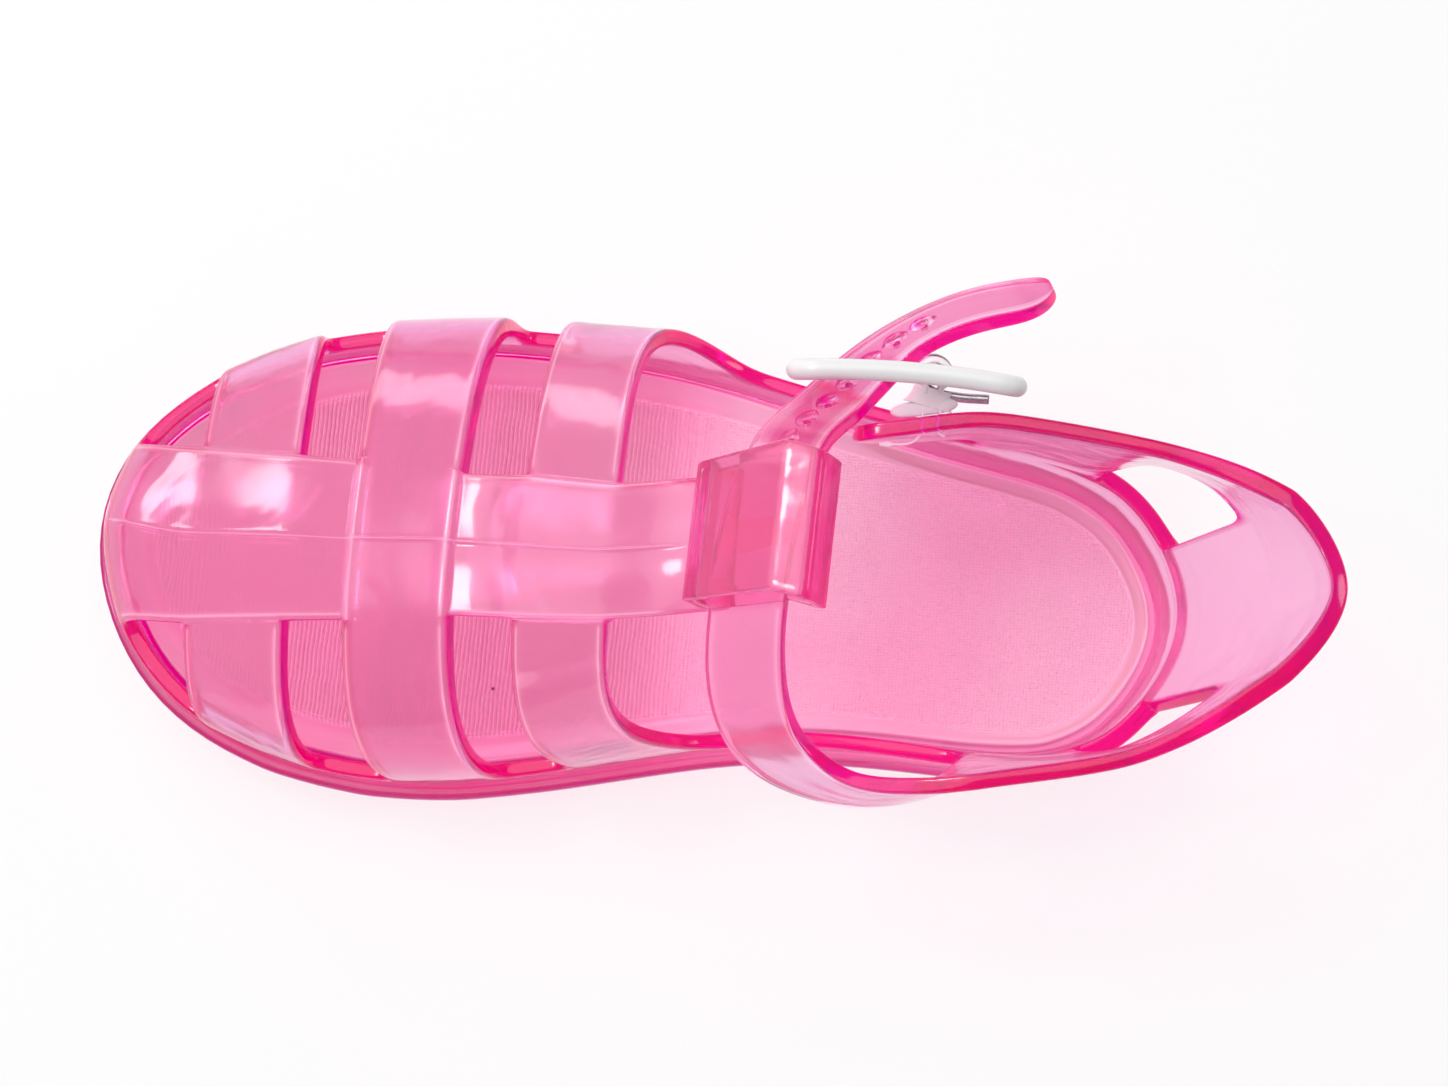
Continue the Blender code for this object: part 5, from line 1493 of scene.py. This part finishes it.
def footbed_height(tree):
    """Ribs in front and linen behind, both at a slightly shaken place, kept to the footbed by the grain
    mark; returns the height, the grain and the share of the linen."""
    where = node(tree, "TexCoord").outputs["Object"]
    noise = {"Vector": where, "Detail": 1.0}
    wobble = node(tree, "TexNoise", {**noise, "Scale": WOBBLE_SCALE}).outputs["Color"]
    pebble = node(tree, "TexNoise", {**noise, "Scale": PEBBLE_SCALE}).outputs["Fac"]
    shaken = node(tree, "VectorMath", {0: wobble, 1: WOBBLE, 2: where}, operation="MULTIPLY_ADD")
    place = node(tree, "SeparateXYZ", {"Vector": shaken.outputs["Vector"]})
    ribs = wave_of(tree, place.outputs["X"], RIB_PITCH)
    threads = [wave_of(tree, place.outputs[axis], pitch) for axis, pitch in zip("XY", LINEN_PITCH)]
    linen = maths(tree, "MULTIPLY_ADD", maths(tree, "MULTIPLY", *threads), LINEN_WEAVE, pebble)
    along = node(tree, "SeparateXYZ", {"Vector": where}).outputs["X"]
    back = ramp(tree, along, *LINEN_FROM_X)
    relief = node(tree, "Mix", {"Factor": back, "A": ribs, "B": linen}, data_type="FLOAT")
    grain = node(tree, "Attribute", attribute_name="grain").outputs["Fac"]
    return maths(tree, "MULTIPLY", relief.outputs["Result"], grain), grain, back


# %% Vinyl of the sole
MATT = (0.08, 0.34)
GRAIN_HEIGHT = 0.0002
# Colour multiplied in by the height of the grain, as painted shade of its relief
RELIEF_SHADE_COLOUR = (0.80, 0.44, 0.58)
GRAIN_SHADE = {"ribs": 0.75, "linen": 0.3}
# Colour multiplied into the forefoot footbed, as painted shade of the straps above it
FORE_SHADE_COLOUR = (0.88, 0.68, 0.73)

sole_vinyl, tree, shader = vinyl(
    "grained_pink_vinyl", transmission=0.55, roughness=0.1,
    absorb=(0.965, 0.0, 0.72), density=46.0, shade=(1.0, 0.80, 0.90),
)
shader.inputs["Specular IOR Level"].default_value = 0.2
tint, bump = tinted(
    tree, shader, colour=(0.95, 0.84, 0.86), speck_colour=(0.2, 0.03, 0.08),
    speck_scale=110.0, wave_scale=70.0, wave_height=0.00015,
)
height, grain, back = footbed_height(tree)
fine = node(tree, "Bump", {"Distance": GRAIN_HEIGHT, "Height": height, "Normal": bump})
tree.links.new(fine.outputs["Normal"], shader.inputs["Normal"])
tree.links.new(between(tree, grain, *MATT), shader.inputs["Roughness"])
# Painted shade of the relief: the colour darkens with the height of the grain, more on the ribs than on the
# linen.
shade = maths(tree, "MULTIPLY", height, between(tree, back, GRAIN_SHADE["ribs"], GRAIN_SHADE["linen"]))
grained = colour_mix(tree, shade, tint, rgba(RELIEF_SHADE_COLOUR), "MULTIPLY")
# Painted shade of the straps: the forefoot footbed is darkened as a whole.
fore = colour_mix(tree, between(tree, back, 1.0, 0.0), grained, rgba(FORE_SHADE_COLOUR), "MULTIPLY")
deepened(tree, shader, fore, colour=(0.62, 0.0, 0.27), glow=(0.7, 0.0, 0.3), strength=0.05)
wear(sole, sole_vinyl, "sole")

# %% [markdown]
# ## Paint and steel
# The buckle is painted white with a slightly soft gloss, a little orange peel and some thin wear; the
# prong is bright drawn wire, a little uneven in tone.

# %% Buckle finishes
WORN = (0.45, 0.8)
GLOSS_SPREAD = (0.8, 1.2)


def solid_look(name, colour, dirt, roughness, metallic, peel_scale, peel_height):
    """Opaque Principled finish with noise in colour, roughness and bump."""
    look = bpy.data.materials.new(name)
    look.use_nodes = True
    tree = look.node_tree
    shader = tree.nodes["Principled BSDF"]
    shader.inputs["Metallic"].default_value = metallic
    where = node(tree, "TexCoord").outputs["Object"]
    peel = node(tree, "TexNoise", {"Vector": where, "Scale": peel_scale, "Detail": 3.0}).outputs["Fac"]
    base = colour_mix(tree, ramp(tree, peel, *WORN), rgba(colour), rgba(dirt))
    rough = between(tree, peel, *(roughness * k for k in GLOSS_SPREAD))
    bump = node(tree, "Bump", {"Distance": peel_height, "Height": peel}).outputs["Normal"]
    for value, socket in ((base, "Base Color"), (rough, "Roughness"), (bump, "Normal")):
        tree.links.new(value, shader.inputs[socket])
    return look


white_paint = solid_look(
    "white_paint", colour=(0.86, 0.86, 0.855), dirt=(0.86, 0.85, 0.85),
    roughness=0.3, metallic=0.0, peel_scale=420.0, peel_height=0.00004,
)
steel = solid_look(
    "drawn_steel", colour=(0.5, 0.5, 0.51), dirt=(0.36, 0.36, 0.37),
    roughness=0.26, metallic=1.0, peel_scale=900.0, peel_height=0.00002,
)
wear(buckle, white_paint, "buckle_frame")
wear(clip, white_paint, "buckle_clip")
wear(prong, steel, "buckle_prong")

# %% [markdown]
# ## Studio
# A white table, a bright even surround and softboxes above, as for a catalogue picture. The table glows a
# little, so that it stays white under clear vinyl without lamps that would burn out the straps. The camera
# looks almost straight down from a little to the inner side, with the toe to the left.

# %% Table and surround
TABLE_HALF = 3.0
TABLE_DROP = -0.0003
TABLE_FINISH = {
    "Base Color": rgba((0.23, 0.23, 0.23)),
    "Emission Color": rgba((1.0, 1.0, 1.0)),
    "Emission Strength": 0.75,
    "Roughness": 0.9,
}
SURROUND = 0.22

corners = [(-1, -1), (1, -1), (1, 1), (-1, 1)]
floor_mesh = bpy.data.meshes.new("floor")
floor_mesh.from_pydata([(TABLE_HALF * a, TABLE_HALF * b, TABLE_DROP) for a, b in corners], [], [(0, 1, 2, 3)])
floor = bpy.data.objects.new("floor", floor_mesh)
bpy.context.scene.collection.objects.link(floor)
paper = bpy.data.materials.new("white_paper")
paper.use_nodes = True
for socket, value in TABLE_FINISH.items():
    paper.node_tree.nodes["Principled BSDF"].inputs[socket].default_value = value
floor_mesh.materials.append(paper)

world = bpy.data.worlds.new("surround")
world.use_nodes = True
world.node_tree.nodes["Background"].inputs["Strength"].default_value = SURROUND
world.node_tree.nodes["Background"].inputs["Color"].default_value = rgba((1.0, 1.0, 1.0))
bpy.context.scene.world = world
print("Table", 2 * TABLE_HALF, "m wide")


# %% Softboxes
def looking(place, back, up):
    """Matrix of a lamp or camera at a place, whose own Z axis points back and whose Y axis is near up."""
    right = unit(np.cross(up, back))
    turn = np.eye(4)
    turn[:3, :3] = np.column_stack([right, np.cross(back, right), back])
    turn[:3, 3] = place
    return Matrix(turn.tolist())


SHOE_MIDDLE = np.array([0.0, 0.0, 0.03])
SOFTBOX_AWAY = 0.8

# Name, direction from the shoe, width, height in metres, radiance
SOFTBOXES = [
    ("softbox_over_toe", (-0.42, 0.27, 0.87), 0.14, 0.12, 20.0),
    ("softbox_over_waist", (-0.46, -0.05, 0.88), 0.13, 0.11, 19.0),
    ("softbox_toe", (-0.86, 0.28, 0.42), 0.11, 0.10, 12.0),
    ("softbox_ceiling", (-0.22, 0.20, 0.95), 1.00, 0.80, 1.9),
    ("softbox_outer", (-0.45, 0.80, 0.38), 0.38, 0.20, 5.0),
    ("softbox_heel", (0.90, 0.15, 0.38), 0.32, 0.22, 4.0),
    ("softbox_inner", (-0.10, -0.90, 0.40), 0.34, 0.20, 2.0),
]


def softbox(name, toward, width, height, radiance):
    """Elliptic area light in a direction from the shoe, facing it; power = pi * area * radiance."""
    lamp = bpy.data.lights.new(name, "AREA")
    lamp.shape = "ELLIPSE"
    lamp.size = width
    lamp.size_y = height
    lamp.energy = math.pi * math.pi / 4 * width * height * radiance
    thing = bpy.data.objects.new(name, lamp)
    bpy.context.scene.collection.objects.link(thing)
    back = unit(np.asarray(toward, float))
    thing.matrix_world = looking(back * SOFTBOX_AWAY + SHOE_MIDDLE, back, [0.0, 0.0, 1.0])


for row in SOFTBOXES:
    softbox(*row)
print("Softboxes:", len(SOFTBOXES))

# %% Camera
CAMERA_PLACE = np.array([0.01180, -0.08539, 0.47737])
CAMERA_AIM = np.array([0.00384, 0.00102, 0.025])
CAMERA_UP = np.array([-0.09294, 0.99017, 0.10453])
PHOTO_LENS = 74.6
ZOOM = 1.1
LIGHT_BOUNCES = 32

lens = bpy.data.cameras.new("camera")
lens.sensor_fit = "HORIZONTAL"
lens.sensor_width = 36.0
lens.lens = PHOTO_LENS * ZOOM
lens.clip_start = 0.01
camera = bpy.data.objects.new("camera", lens)
bpy.context.scene.collection.objects.link(camera)
camera.matrix_world = looking(CAMERA_PLACE, unit(CAMERA_PLACE - CAMERA_AIM), CAMERA_UP)
bpy.context.scene.camera = camera
bpy.context.scene.view_settings.view_transform = "Standard"
bpy.context.scene.cycles.max_bounces = LIGHT_BOUNCES
bpy.context.scene.cycles.transmission_bounces = LIGHT_BOUNCES
bpy.context.scene.cycles.glossy_bounces = LIGHT_BOUNCES
print("Camera", round(float(np.linalg.norm(CAMERA_PLACE - CAMERA_AIM)), 3), "m from the shoe")
